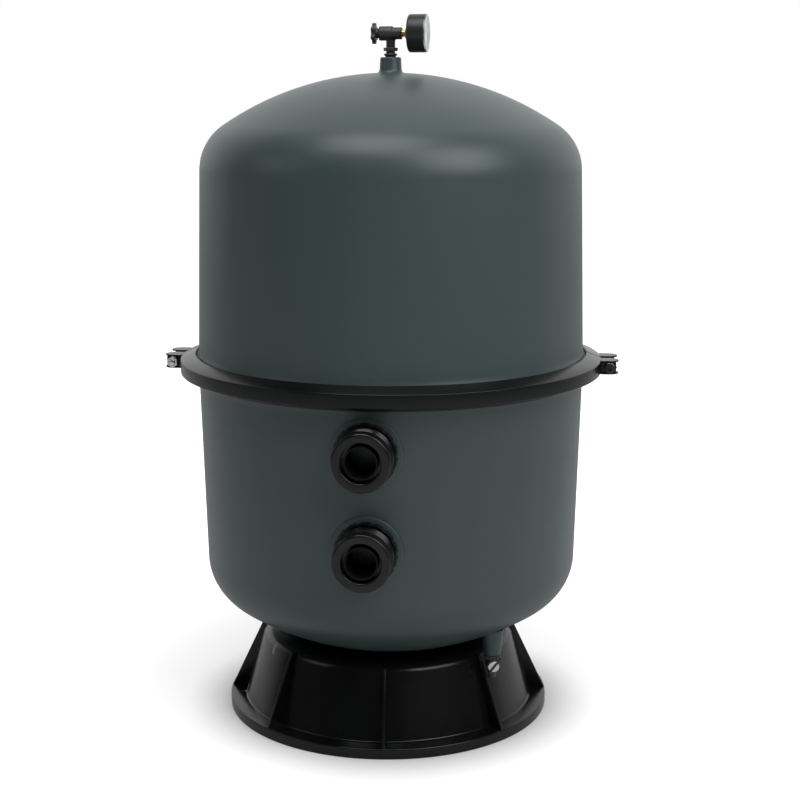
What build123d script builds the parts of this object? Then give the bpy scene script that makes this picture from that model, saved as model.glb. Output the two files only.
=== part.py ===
from build123d import *
import os
from math import atan2, cos, pi, radians, sin, sqrt, tan

os.makedirs("parts", exist_ok=True)

# Tank: a domed upper shell and a deeper lower shell that meet at a flanged joint. Ports face -Y.
body_radius = 250.0
wall = 6.0
draft = radians(1.5)
upper_straight = 247.2
lower_straight = 254.2
knuckle_radius = 69.0
crown_radius = 380.0

# Joint flange, seal and V clamp
flange_rise = 16.0
flange_width = 14.0
flange_edge = 7.0
flange_slope = radians(21.4)
flare_height = 26.0
seal_width = 6.0
seal_depth = 4.0
clamp_wall = 3.5
clamp_clearance = 0.3
clamp_band_gap = 3.9
clamp_lip_gap = 1.0
clamp_split = 4.0
clamp_turn = 1.7

# Clamp lugs: a bolted wall between two round plates, with M8 fasteners
lug_plate = 2.0
lug_opening = 13.6
lug_radius = 12.0
lug_centre = 18.5
lug_face = 29.0
lug_wall = 7.0
lug_side = 8.5
bolt_offset = 9.8
bolt_radius = 4.0
bolt_hole = 4.4
bolt_tail = 2.0
head_radius = 6.4
head_height = 6.4
key_radius = 3.4
key_depth = 3.2
nut_flats = 13.0
nut_height = 6.5
washer_radius = 6.6
washer_thickness = 1.6

# Ports
inlet_drop = 67.5
port_spacing = 119.0
pad_radius = 44.0
pad_thickness = 16.0
spigot_radius = 35.25
spigot_length = 46.0
spigot_chamfer = 2.2
mouth_radius = 24.0
mouth_depth = 14.0
mouth_edge = 1.0
barrel_radius = 29.0
lock_ring_radius = 38.25
lock_ring_thickness = 8.0
lock_ring_notches = 14
notch_depth = 1.3
notch_width = 6.0
gasket_thickness = 3.0
gasket_width = 8.0
back_nut_thickness = 12.0
back_nut_radius = 43.0
barrel_tail = 2.0

# Pipework inside the tank
pipe_radius = 20.0
pipe_wall = 2.0
bend_radius = 45.0
socket_wall = 4.0
socket_depth = 22.0
diffuser_drop = 89.8
diffuser_radius = 45.0
diffuser_height = 30.0
diffuser_windows = 12
cage_floor = 4.0
cage_wall = 4.0
window_width = 12.0
hub_radius = 38.0
hub_half = 20.0
hub_edge = 4.0
hub_gap = 2.0
hub_leg_radius = 16.0
lateral_count = 8
lateral_radius = 12.5
lateral_clear = 32.0
lateral_wall = 2.0
lateral_spigot = 10.0
lateral_gap = 9.0
lateral_tip = 5.0
lateral_neck = 6.0
lateral_slots = 8
slot_width = 2.0

# Base skirt, which stands a little to the left of the tank's axis
skirt_shift = -4.4
skirt_height = 105.04
skirt_foot_width = 20.9
skirt_foot_height = 13.6
skirt_drain_gap = 15.9
skirt_slope = 0.3
skirt_seat_radius = 118.0
skirt_seat_drop = 3.0
skirt_wall = 4.0
skirt_shoulder = 7.0
rib_count = 8
rib_turn = 5.3
rib_thickness = 3.6
rib_foot = 3.7
rib_head = 5.3
rib_root = 2.0
rib_sink = 1.5

# Drain at the foot of the bowl
drain_turn = 52.35
drain_radius = 181.0
drain_boss_radius = 10.5
drain_boss_drop = 27.0
drain_boss_taper = 6.5
drain_bore = 6.0
drain_channel = 2.5
drain_washer_thickness = 1.5
strainer_rise = 32.0
strainer_slots = 16.0
strainer_entry = 10.0
cock_turn = 12.0
cock_drop = 13.4
cock_collar_radius = 10.8
cock_collar = 4.5
cock_barrel_radius = 8.0
cock_rear = 8.0
cock_front = 11.0
cock_entry = 9.0
cock_neck = 16.0
cock_spout = 9.0
plug_radius = 5.0
plug_disc_radius = 7.1
plug_disc = 2.2
lever_length = 26.0
lever_width = 2.0
lever_height = 3.4
lever_offset = 3.0
lever_turn = 52.0

# Gauge group on top
boss_radius = 14.0
boss_height = 19.0
boss_lean = 2.3
boss_edge = 2.0
tee_height = 48.2
stem_radius = 5.65
stem_channel = 2.5
stem_sink = 2.0
tee_radius = 8.9
tee_branch_radius = 7.4
tee_half = 14.5
tee_step = 2.5
tee_seal_radius = 6.6
tee_seal_height = 1.5
tee_washer_radius = 8.6
tee_washer_height = 3.2
tee_nut_gap = 2.8
tee_nut_flats = 16.0
tee_nut_height = 4.2
gauge_turn = 4.15
gauge_radius = 23.5
gauge_start = 23.2
gauge_front = 45.5
gauge_wall = 1.5
gauge_thread = 5.0
gauge_thread_length = 8.4
gauge_hex = 5.8
gauge_hex_start = 19.0
gauge_neck = 4.2
gauge_channel = 1.5
gauge_bar = 4.5
gauge_bar_length = 27.0
gauge_bar_width = 8.0
gauge_bar_drop = 6.0
dial_drop = 5.5
dial_thickness = 0.8
lens_thickness = 1.4
lens_spigot = 1.5
lens_edge = 0.9
spindle_radius = 1.0
needle_gap = 1.2
needle_thickness = 0.8
needle_hub = 2.6
needle_tail = 6.0
needle_waist = 10.0
needle_tip = 16.5
needle_half = 1.2
needle_neck = 0.7
tube_outer = 17.8
tube_inner = 16.2
tube_gap = 4.0
knob_radius = 12.9
knob_lobe = 3.2
knob_lobes = 6
knob_thickness = 5.0
knob_neck = 3.5
knob_neck_radius = 6.0
knob_gap = 0.5
bleed_spindle = 3.95
bleed_reach = 10.5
bleed_groove = 5.5
bleed_groove_width = 2.2
bleed_groove_depth = 1.0
bleed_floor = 2.0

# Clearances between pieces
fit = 0.05
easy_fit = 0.3
seat_gap = 0.2

# Sizes that follow
upper_centre = body_radius - upper_straight * tan(draft) - knuckle_radius / cos(draft)
lower_centre = body_radius - lower_straight * tan(draft) - knuckle_radius / cos(draft)
upper_crown = upper_straight - sqrt((crown_radius - knuckle_radius) ** 2 - upper_centre**2)
lower_crown = lower_straight - sqrt((crown_radius - knuckle_radius) ** 2 - lower_centre**2)
seat_height = skirt_height + skirt_seat_drop * (1 - 2 * skirt_slope)
joint_height = seat_height + lower_crown + sqrt(crown_radius**2 - skirt_seat_radius**2)
skirt_top_radius = drain_radius - skirt_drain_gap
skirt_wall_radius = skirt_top_radius + skirt_slope * (skirt_height - skirt_foot_height)
skirt_foot_radius = skirt_wall_radius + skirt_foot_width
tank_top = joint_height + upper_crown + crown_radius
flange_radius = body_radius + flange_rise
seal_radius = body_radius + flange_rise / 2
neck_radius = flange_radius - flange_width
neck_height = flange_edge + flange_width * tan(flange_slope)
clamp_radius = flange_radius + clamp_band_gap + clamp_wall
lug_half = lug_opening / 2
bolt_x = clamp_radius + bolt_offset
split_half = clamp_split / 2
washer_face = lug_face + washer_thickness
inlet_height = joint_height - inlet_drop
outlet_height = inlet_height - port_spacing
pad_face = body_radius
pad_back = pad_face - pad_thickness
spigot_front = pad_face + spigot_length
barrel_end = pad_back - gasket_thickness - back_nut_thickness - barrel_tail
pipe_bore = pipe_radius - pipe_wall
socket_radius = pipe_radius + socket_wall
riser_top = tank_top - diffuser_drop
cage_top = riser_top + cage_floor + diffuser_height
hub_height = outlet_height - bend_radius - 2 * socket_depth - hub_half
hub_top = hub_height + hub_half
hub_base = hub_height - hub_half
boss_top = tank_top + boss_height
gauge_axis = tank_top + tee_height

def bowl_height(radius, inset):
    """Height of the lower crown's surface at a radius, moved in by inset."""
    return joint_height - lower_crown - sqrt((crown_radius - inset) ** 2 - radius**2)

def finish(piece, name, turn=0):
    """Turn a finished piece about Z, label it and write it under its node's name."""
    part = piece.part.rotate(Axis.Z, turn)
    part.label = name
    export_step(part, f"parts/{name}.step")

def dome_face(inset, side, flanged):
    """Half section of a dome, filled to the axis; side is 1 above the joint and -1 below it."""
    straight = upper_straight if side > 0 else lower_straight
    centre = upper_centre if side > 0 else lower_centre
    crown = upper_crown if side > 0 else lower_crown
    small = knuckle_radius - inset
    large = crown_radius - inset
    haunch = atan2(straight - crown, centre)
    middle = (haunch + draft) / 2
    above = (haunch + pi / 2) / 2

    def at(radius, height):
        return (radius, joint_height + side * height)

    def on_knuckle(angle):
        return at(centre + small * cos(angle), straight + small * sin(angle))

    with BuildSketch(Plane.XZ) as face:
        with BuildLine():
            if flanged:
                flare = at(body_radius - flare_height * tan(draft), flare_height)
                neck = at(neck_radius, neck_height)
                bow = at(body_radius - wall / 60, (neck_height + flare_height) / 2)
                Polyline(at(0, 0), at(flange_radius, 0), at(flange_radius, flange_edge), neck)
                ThreePointArc(neck, bow, flare)
                Line(flare, on_knuckle(draft))
            else:
                Polyline(at(0, 0), at(body_radius - inset / cos(draft), 0), on_knuckle(draft))
            ThreePointArc(on_knuckle(draft), on_knuckle(middle), on_knuckle(haunch))
            shoulder = at(large * cos(above), crown + large * sin(above))
            ThreePointArc(on_knuckle(haunch), shoulder, at(0, crown + large))
            Line(at(0, crown + large), at(0, 0))
        make_face()
    return face.sketch

def around(turn, radius, height):
    """Point at a turn in degrees from -Y towards +X."""
    return (radius * sin(radians(turn)), -radius * cos(radians(turn)), height)


def port_plane(distance, height):
    """Plane that faces out of a port, at a distance from the tank's axis."""
    return Plane(origin=(0, -distance, height), x_dir=(1, 0, 0), z_dir=(0, -1, 0))


drain_point = around(drain_turn, drain_radius, 0)
drain_plane = Plane(origin=drain_point)
drain_boss_end = bowl_height(drain_radius, 0) - drain_boss_drop
drain_boss_top = bowl_height(drain_radius + drain_boss_radius, wall)

# Lower shell with its port pads, drain boss and seal groove
with BuildPart() as tank_lower:
    revolve(dome_face(0, -1, True), axis=Axis.Z)
    with BuildSketch(drain_plane.offset(drain_boss_end)):
        Circle(drain_boss_radius)
    extrude(amount=drain_boss_top - drain_boss_end, taper=-drain_boss_taper)
    revolve(dome_face(wall, -1, False), axis=Axis.Z, mode=Mode.SUBTRACT)
    for port_height in (inlet_height, outlet_height):
        with BuildSketch(port_plane(pad_back, port_height)):
            Circle(pad_radius)
        extrude(amount=pad_thickness)
        with BuildSketch(port_plane(pad_back, port_height)):
            Circle(barrel_radius + easy_fit)
        extrude(amount=pad_thickness, mode=Mode.SUBTRACT)
    with BuildSketch(drain_plane.offset(drain_boss_end)):
        Circle(drain_bore)
    extrude(amount=drain_boss_top - drain_boss_end + 2 * wall, mode=Mode.SUBTRACT)
    with BuildSketch(Plane.XY.offset(joint_height)):
        Circle(seal_radius + seal_width / 2)
        Circle(seal_radius - seal_width / 2, mode=Mode.SUBTRACT)
    extrude(amount=-seal_depth, mode=Mode.SUBTRACT)
finish(tank_lower, "tank_lower")

# Upper shell with the gauge boss on its crown
with BuildPart() as tank_upper:
    revolve(dome_face(0, 1, True), axis=Axis.Z)
    with BuildSketch(Plane.XY.offset(boss_top)):
        Circle(boss_radius - boss_height * tan(radians(boss_lean)))
    extrude(amount=-(boss_height + wall), taper=-boss_lean)
    fillet(tank_upper.edges().sort_by(Axis.Z)[-1], boss_edge)
    revolve(dome_face(wall, 1, False), axis=Axis.Z, mode=Mode.SUBTRACT)
    with BuildSketch(Plane.XY.offset(boss_top)):
        Circle(stem_radius + 2 * fit)
    extrude(amount=-(boss_height + 2 * wall), mode=Mode.SUBTRACT)
finish(tank_upper, "tank_upper")

# Joint seal, flush with the groove's mouth
with BuildPart() as tank_seal:
    with BuildSketch(Plane.XY.offset(joint_height)):
        Circle(seal_radius + seal_width / 2 - easy_fit)
        Circle(seal_radius - seal_width / 2 + easy_fit, mode=Mode.SUBTRACT)
    extrude(amount=-seal_depth)
finish(tank_seal, "tank_seal")


def lug_plane(end, side, distance):
    """Plane on a bolt's axis, facing away from the split on one side of it."""
    return Plane(origin=(end * bolt_x, side * distance, joint_height), x_dir=(1, 0, 0), z_dir=(0, side, 0))


def clamp_half(side):
    """One half of the V clamp with its four lug plates; side is -1 in front and 1 behind."""
    lip = neck_radius + clamp_lip_gap
    rise = clamp_clearance / cos(flange_slope)
    band_height = flange_edge - clamp_band_gap * tan(flange_slope) + rise
    lip_height = flange_edge + (flange_radius - lip) * tan(flange_slope) + rise
    outer_height = band_height - clamp_wall * tan(flange_slope) + clamp_wall / cos(flange_slope)
    outer_lip = (lip + clamp_wall * sin(flange_slope), lip_height + clamp_wall * cos(flange_slope))
    half_section = [
        (clamp_radius, 0),
        (clamp_radius, outer_height),
        outer_lip,
        (lip, lip_height),
        (clamp_radius - clamp_wall, band_height),
        (clamp_radius - clamp_wall, 0),
    ]
    near = Plane(origin=(0, side * split_half, joint_height), x_dir=(1, 0, 0), z_dir=(0, side, 0))
    with BuildPart() as half:
        with BuildSketch(Plane.XZ.shift_origin((0, 0, joint_height))):
            with BuildLine():
                Polyline(*half_section, close=True)
            make_face()
            mirror(about=Plane.XZ)
        revolve(axis=Axis.Z)
        split(bisect_by=near, keep=Keep.TOP)
        for end in (-1, 1):
            for level in (lug_half, -lug_half - lug_plate):
                with BuildSketch(Plane.XY.offset(joint_height + level)):
                    with Locations((end * bolt_x, side * lug_centre)):
                        Circle(lug_radius)
                    with Locations((end * (bolt_x - lug_radius / 2), side * lug_centre)):
                        Rectangle(lug_radius, 2 * lug_radius)
                    Circle(flange_radius + 1, mode=Mode.SUBTRACT)
                extrude(amount=lug_plate)
            web_width = bolt_offset + lug_side + clamp_wall / 2
            with BuildSketch(lug_plane(end, side, lug_face)):
                with Locations((end * (lug_side - web_width / 2), 0)):
                    Rectangle(web_width, lug_opening)
            extrude(amount=-lug_wall)
            with BuildSketch(lug_plane(end, side, lug_face)):
                Circle(bolt_hole)
            extrude(amount=-lug_wall, mode=Mode.SUBTRACT)
    return half


for clamp_name, clamp_side in (("clamp_half_front", -1), ("clamp_half_rear", 1)):
    finish(clamp_half(clamp_side), clamp_name, clamp_turn)

# Bolts: the left one enters from behind, the right one from the front
bolt_length = 2 * washer_face + nut_height + bolt_tail
for bolt_name, bolt_end, head_side in (("clamp_bolt_left", -1, 1), ("clamp_bolt_right", 1, -1)):
    with BuildPart() as clamp_bolt:
        with BuildSketch(lug_plane(bolt_end, head_side, washer_face)):
            Circle(head_radius)
        extrude(amount=head_height)
        rims = clamp_bolt.edges().filter_by(GeomType.CIRCLE).sort_by(Axis.Y)
        fillet(rims[-1 if head_side > 0 else 0], 0.8)
        with BuildSketch(lug_plane(bolt_end, head_side, washer_face + head_height)):
            RegularPolygon(key_radius, 6)
        extrude(amount=-key_depth, mode=Mode.SUBTRACT)
        with BuildSketch(lug_plane(bolt_end, head_side, washer_face)):
            Circle(bolt_radius)
        extrude(amount=-bolt_length)
    finish(clamp_bolt, bolt_name, clamp_turn)

for nut_name, nut_end, nut_side in (("clamp_nut_left", -1, -1), ("clamp_nut_right", 1, 1)):
    with BuildPart() as clamp_nut:
        with BuildSketch(lug_plane(nut_end, nut_side, washer_face)):
            RegularPolygon(nut_flats / 2, 6, major_radius=False)
            Circle(bolt_radius + fit, mode=Mode.SUBTRACT)
        extrude(amount=nut_height)
    finish(clamp_nut, nut_name, clamp_turn)

for washers_name, washers_side in (("clamp_washers_front", -1), ("clamp_washers_rear", 1)):
    with BuildPart() as clamp_washers:
        for washer_end in (-1, 1):
            with BuildSketch(lug_plane(washer_end, washers_side, lug_face)):
                Circle(washer_radius)
                Circle(bolt_radius + easy_fit, mode=Mode.SUBTRACT)
            extrude(amount=washer_thickness)
    finish(clamp_washers, washers_name, clamp_turn)

# Ports: threaded body around the end of the pipe, lock ring outside, gasket and back nut inside
for port_name, port_height in (("inlet", inlet_height), ("outlet", outlet_height)):
    with BuildPart() as port_body:
        with BuildSketch(port_plane(pad_face, port_height)):
            Circle(spigot_radius)
        extrude(amount=spigot_length)
        chamfer(port_body.edges().filter_by(GeomType.CIRCLE).sort_by(Axis.Y)[0], spigot_chamfer)
        with BuildSketch(port_plane(barrel_end, port_height)):
            Circle(barrel_radius)
        extrude(amount=pad_face - barrel_end)
        with BuildSketch(port_plane(spigot_front, port_height)):
            Circle(mouth_radius)
        extrude(amount=-mouth_depth, mode=Mode.SUBTRACT)
        with BuildSketch(port_plane(barrel_end, port_height)):
            Circle(pipe_radius + fit)
        extrude(amount=spigot_front - barrel_end, mode=Mode.SUBTRACT)
    finish(port_body, f"{port_name}_port_body")

    with BuildPart() as lock_ring:
        with BuildSketch(port_plane(pad_face, port_height)):
            Circle(lock_ring_radius)
            Circle(spigot_radius + 2 * fit, mode=Mode.SUBTRACT)
            with PolarLocations(lock_ring_radius, lock_ring_notches):
                Rectangle(2 * notch_depth, notch_width, mode=Mode.SUBTRACT)
        extrude(amount=lock_ring_thickness)
    finish(lock_ring, f"{port_name}_lock_ring")

    with BuildPart() as gasket:
        with BuildSketch(port_plane(pad_back, port_height)):
            Circle(barrel_radius + gasket_width)
            Circle(barrel_radius + easy_fit, mode=Mode.SUBTRACT)
        extrude(amount=-gasket_thickness)
    finish(gasket, f"{port_name}_gasket")

    with BuildPart() as back_nut:
        with BuildSketch(port_plane(pad_back - gasket_thickness, port_height)):
            RegularPolygon(back_nut_radius, 6)
            Circle(barrel_radius + fit, mode=Mode.SUBTRACT)
        extrude(amount=-back_nut_thickness)
    finish(back_nut, f"{port_name}_back_nut")

    with BuildPart() as stub_pipe:
        with BuildSketch(port_plane(bend_radius, port_height)):
            Circle(pipe_radius)
            Circle(pipe_bore, mode=Mode.SUBTRACT)
        extrude(amount=spigot_front - mouth_edge - bend_radius)
    finish(stub_pipe, f"{port_name}_stub_pipe")

# Elbows: the inlet turns up to the riser, the outlet turns down to the laterals
elbow_runs = (("inlet_elbow", inlet_height, 1), ("outlet_elbow", outlet_height, -1))
for elbow_name, elbow_height, elbow_side in elbow_runs:
    bend_end = elbow_height + elbow_side * bend_radius
    bow_offset = bend_radius * (1 - sin(pi / 4))
    with BuildPart() as elbow:
        with BuildLine():
            bend = ThreePointArc(
                (0, -bend_radius, elbow_height),
                (0, -bow_offset, elbow_height + elbow_side * bow_offset),
                (0, 0, bend_end),
            )
        with BuildSketch(Plane(origin=bend @ 0, z_dir=bend % 0)):
            Circle(socket_radius - 1)
            Circle(pipe_bore, mode=Mode.SUBTRACT)
        sweep()
        with BuildSketch(port_plane(bend_radius, elbow_height)):
            Circle(socket_radius)
            Circle(pipe_radius + fit, mode=Mode.SUBTRACT)
        extrude(amount=socket_depth)
        with BuildSketch(Plane.XY.offset(bend_end)):
            Circle(socket_radius)
            Circle(pipe_radius + fit, mode=Mode.SUBTRACT)
        extrude(amount=elbow_side * socket_depth)
    finish(elbow, elbow_name)

for run_name, run_low, run_high in (
    ("riser_pipe", inlet_height + bend_radius, riser_top),
    ("down_pipe", hub_top, outlet_height - bend_radius),
):
    with BuildPart() as pipe_run:
        with BuildSketch(Plane.XY.offset(run_low)):
            Circle(pipe_radius)
            Circle(pipe_bore, mode=Mode.SUBTRACT)
        extrude(amount=run_high - run_low)
    finish(pipe_run, run_name)

# Diffuser cage and its cap at the head of the riser
with BuildPart() as diffuser_body:
    with BuildSketch(Plane.XY.offset(riser_top)):
        Circle(socket_radius)
        Circle(pipe_radius + fit, mode=Mode.SUBTRACT)
    extrude(amount=-socket_depth)
    with BuildSketch(Plane.XY.offset(riser_top)):
        Circle(diffuser_radius)
        Circle(pipe_bore, mode=Mode.SUBTRACT)
    extrude(amount=cage_floor)
    with BuildSketch(Plane.XY.offset(riser_top + cage_floor)):
        Circle(diffuser_radius)
        Circle(diffuser_radius - cage_wall, mode=Mode.SUBTRACT)
    extrude(amount=diffuser_height)
    with BuildSketch(Plane.XY.offset(riser_top + cage_floor)):
        with PolarLocations(diffuser_radius, diffuser_windows):
            Rectangle(3 * cage_wall, window_width)
    extrude(amount=diffuser_height - cage_wall, mode=Mode.SUBTRACT)
finish(diffuser_body, "diffuser_body")

with BuildPart() as diffuser_cap:
    with BuildSketch(Plane.XY.offset(cage_top)):
        Circle(diffuser_radius + cage_wall)
    extrude(amount=cage_floor)
    fillet(diffuser_cap.edges().sort_by(Axis.Z)[-1], cage_floor / 2)
    with BuildSketch(Plane.XY.offset(cage_top)):
        Circle(diffuser_radius - cage_wall - easy_fit)
        Circle(diffuser_radius - 2 * cage_wall, mode=Mode.SUBTRACT)
    extrude(amount=-cage_wall)
finish(diffuser_cap, "diffuser_cap")

# Hub on the bowl's floor, with a screwed socket for each lateral
with BuildPart() as lateral_hub:
    with BuildSketch(Plane.XY.offset(hub_base)):
        Circle(hub_radius)
    extrude(amount=2 * hub_half)
    fillet(lateral_hub.edges().filter_by(GeomType.CIRCLE), hub_edge)
    with BuildSketch(Plane.XY.offset(hub_top)):
        Circle(socket_radius)
    extrude(amount=socket_depth - hub_gap)
    with BuildSketch(Plane.XY.offset(hub_top)):
        Circle(pipe_radius + fit)
    extrude(amount=socket_depth, mode=Mode.SUBTRACT)
    leg_foot = bowl_height(hub_leg_radius, wall) + seat_gap
    with BuildSketch(Plane.XY.offset(leg_foot)):
        Circle(hub_leg_radius)
    extrude(amount=hub_base - leg_foot)
    with BuildSketch(Plane.XY.offset(leg_foot)):
        Circle(hub_leg_radius - socket_wall)
    extrude(amount=hub_base - leg_foot, mode=Mode.SUBTRACT)
    with BuildSketch(Plane.XY.offset(hub_base + socket_wall)):
        Circle(pipe_bore)
    extrude(amount=hub_top - hub_base - socket_wall, mode=Mode.SUBTRACT)
    for lateral in range(lateral_count):
        lateral_way = around(lateral * 360 / lateral_count, 1, 0)
        with BuildSketch(Plane(origin=(0, 0, hub_height), z_dir=lateral_way)):
            Circle(lateral_spigot + fit)
        extrude(amount=hub_radius + 1, mode=Mode.SUBTRACT)
finish(lateral_hub, "lateral_hub")

# Laterals: slotted tubes that reach out to the wall of the bowl
bowl_drop = joint_height - lower_crown - hub_height + lateral_radius
lateral_end = sqrt((crown_radius - wall) ** 2 - bowl_drop**2) - lateral_clear
spigot_start = pipe_bore + lateral_gap
neck_end = hub_radius + lateral_neck
slot_pitch = (lateral_end - neck_end - 2 * lateral_neck) / lateral_slots
for lateral in range(lateral_count):
    lateral_way = around(lateral * 360 / lateral_count, 1, 0)
    lateral_plane = Plane(origin=(0, 0, hub_height), x_dir=(0, 0, 1), z_dir=lateral_way)
    with BuildPart() as lateral_tube:
        with BuildSketch(lateral_plane.offset(hub_radius)):
            Circle(lateral_radius)
        extrude(amount=lateral_end - hub_radius)
        rim = lateral_tube.edges().filter_by(GeomType.CIRCLE)
        fillet(rim.sort_by(Axis(origin=(0, 0, 0), direction=lateral_way))[-1], lateral_tip)
        with BuildSketch(lateral_plane.offset(spigot_start)):
            Circle(lateral_spigot)
        extrude(amount=hub_radius - spigot_start)
        with BuildSketch(lateral_plane.offset(spigot_start)):
            Circle(lateral_spigot - lateral_wall)
        extrude(amount=neck_end - spigot_start, mode=Mode.SUBTRACT)
        with BuildSketch(lateral_plane.offset(neck_end)):
            Circle(lateral_radius - lateral_wall)
        extrude(amount=lateral_end - neck_end - lateral_wall, mode=Mode.SUBTRACT)
        for slot in range(lateral_slots):
            with BuildSketch(lateral_plane.offset(neck_end + lateral_neck + slot * slot_pitch)):
                with Locations((-lateral_radius, 0)):
                    Rectangle(lateral_radius, 2 * lateral_radius)
            extrude(amount=slot_width, mode=Mode.SUBTRACT)
    finish(lateral_tube, f"lateral_{lateral + 1}")

# Base skirt: conical wall, rounded shoulder, a top that carries the bowl, foot flange and outer ribs
skirt_centre = Plane(origin=(skirt_shift, 0, 0), x_dir=(1, 0, 0), z_dir=(0, -1, 0))
skirt_axis = Axis(origin=(skirt_shift, 0, 0), direction=(0, 0, 1))
with BuildPart() as base_skirt:
    with BuildSketch(skirt_centre) as skirt_section:
        with BuildLine():
            Polyline(
                (skirt_foot_radius, 0),
                (skirt_foot_radius, skirt_foot_height),
                (skirt_wall_radius, skirt_foot_height),
                (skirt_top_radius, skirt_height),
                (skirt_seat_radius - 2 * skirt_wall, skirt_height),
                (skirt_seat_radius - 2 * skirt_wall, skirt_height - 2.5 * skirt_wall),
                (skirt_seat_radius, skirt_height - 2.5 * skirt_wall),
                (skirt_seat_radius + skirt_wall, skirt_height - skirt_wall),
                (skirt_top_radius - skirt_wall, skirt_height - skirt_wall),
                (skirt_wall_radius - skirt_wall, skirt_foot_height - skirt_wall),
                (skirt_foot_radius - skirt_wall, skirt_foot_height - skirt_wall),
                (skirt_foot_radius - skirt_wall, 0),
                close=True,
            )
        make_face()
        corners = skirt_section.vertices()
        fillet(corners.sort_by_distance((skirt_top_radius, skirt_height, 0))[0], skirt_shoulder)
        fillet(corners.sort_by_distance((skirt_wall_radius, skirt_foot_height, 0))[0], 3.0)
        fillet(corners.sort_by_distance((skirt_foot_radius, skirt_foot_height, 0))[0], 1.6)
    revolve(axis=skirt_axis)
    for rib in range(rib_count):
        rib_way = around(rib_turn + rib * 360 / rib_count, 1, 0)
        rib_plane = Plane(origin=(skirt_shift, 0, 0), x_dir=rib_way, z_dir=(rib_way[1], -rib_way[0], 0))
        with BuildSketch(rib_plane):
            with BuildLine():
                Polyline(
                    (skirt_foot_radius - rib_foot, skirt_foot_height - rib_sink),
                    (skirt_foot_radius - rib_foot, skirt_foot_height),
                    (skirt_top_radius + rib_head, skirt_height - rib_root),
                    (skirt_top_radius - rib_root, skirt_height - rib_root),
                    (skirt_wall_radius - rib_root, skirt_foot_height - rib_sink),
                    close=True,
                )
            make_face()
        extrude(amount=rib_thickness / 2, both=True)
    bowl_centre = joint_height - lower_crown
    with BuildSketch(Plane.XZ):
        with Locations((0, bowl_centre)):
            Circle(crown_radius + seat_gap)
        with Locations((-crown_radius, bowl_centre)):
            Rectangle(2 * crown_radius, 3 * crown_radius, mode=Mode.SUBTRACT)
    revolve(axis=Axis.Z, mode=Mode.SUBTRACT)
finish(base_skirt, "base_skirt")

# Drain: strainer in the boss, washer, cock body and its turning plug
strainer_low = drain_boss_end + strainer_entry
strainer_top = bowl_height(drain_radius, wall) + strainer_rise
with BuildPart() as drain_strainer:
    with BuildSketch(drain_plane.offset(strainer_low)):
        Circle(drain_bore - fit)
    extrude(amount=strainer_top - strainer_low)
    fillet(drain_strainer.edges().filter_by(GeomType.CIRCLE).sort_by(Axis.Z)[-1], drain_bore / 2)
    with BuildSketch(drain_plane.offset(strainer_low)):
        Circle(drain_bore - lateral_wall)
    extrude(amount=strainer_top - strainer_low - lateral_wall, mode=Mode.SUBTRACT)
    with BuildSketch(drain_plane.offset(strainer_top - drain_bore - strainer_slots)):
        Rectangle(3 * drain_bore, slot_width)
        Rectangle(slot_width, 3 * drain_bore)
    extrude(amount=strainer_slots, mode=Mode.SUBTRACT)
finish(drain_strainer, "drain_strainer")

with BuildPart() as drain_washer:
    with BuildSketch(drain_plane.offset(drain_boss_end)):
        Circle(drain_boss_radius - 2 * easy_fit)
        Circle(drain_bore + fit, mode=Mode.SUBTRACT)
    extrude(amount=-drain_washer_thickness)
finish(drain_washer, "drain_washer")

cock_height = drain_boss_end - cock_drop
collar_top = drain_boss_end - drain_washer_thickness
neck_foot = collar_top - cock_collar - cock_neck
cock_way = Vector(*around(cock_turn, 1, 0))
cock_centre = Vector(*drain_point) + Vector(0, 0, cock_height)
cock_plane = Plane(origin=cock_centre, x_dir=(-cock_way.Y, cock_way.X, 0), z_dir=cock_way)
with BuildPart() as drain_cock_body:
    with BuildSketch(drain_plane.offset(collar_top)):
        Circle(drain_bore - fit)
    extrude(amount=drain_washer_thickness + cock_entry)
    with BuildSketch(drain_plane.offset(collar_top)):
        Circle(cock_collar_radius)
    extrude(amount=-cock_collar)
    chamfer(drain_cock_body.edges().filter_by(GeomType.CIRCLE).group_by(Axis.Z)[0], 0.8)
    with BuildSketch(drain_plane.offset(neck_foot)):
        Circle(cock_barrel_radius - 1)
    extrude(amount=cock_neck)
    with BuildSketch(cock_plane.offset(-cock_rear)):
        Circle(cock_barrel_radius)
    extrude(amount=cock_rear + cock_front)
    with BuildSketch(drain_plane.offset(neck_foot - cock_spout)):
        Circle(plug_radius)
    extrude(amount=cock_spout + 1)
    with BuildSketch(drain_plane.offset(neck_foot - cock_spout)):
        Circle(drain_channel)
    extrude(amount=collar_top + cock_entry + 2 * wall - neck_foot, mode=Mode.SUBTRACT)
    with BuildSketch(cock_plane.offset(-cock_rear)):
        Circle(plug_radius + fit)
    extrude(amount=cock_rear + cock_front, mode=Mode.SUBTRACT)
finish(drain_cock_body, "drain_cock_body")

disc_back = cock_front + easy_fit
with BuildPart() as drain_cock_plug:
    with BuildSketch(cock_plane.offset(-cock_rear)):
        Circle(plug_radius)
    extrude(amount=cock_rear + disc_back + plug_disc / 2)
    with BuildSketch(cock_plane.offset(disc_back)):
        Circle(plug_disc_radius)
    extrude(amount=plug_disc)
    chamfer(drain_cock_plug.edges().filter_by(GeomType.CIRCLE).sort_by(Axis.Y)[0], 0.5)
    with BuildSketch(cock_plane.offset(disc_back + plug_disc / 2)):
        with Locations(Rotation(0, 0, lever_turn)):
            with Locations((lever_offset, 0)):
                SlotOverall(lever_length, lever_width)
    extrude(amount=lever_height)
    with BuildSketch(drain_plane.offset(cock_height - 2 * plug_radius)):
        Circle(drain_channel)
    extrude(amount=4 * plug_radius, mode=Mode.SUBTRACT)
finish(drain_cock_plug, "drain_cock_plug")

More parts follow.
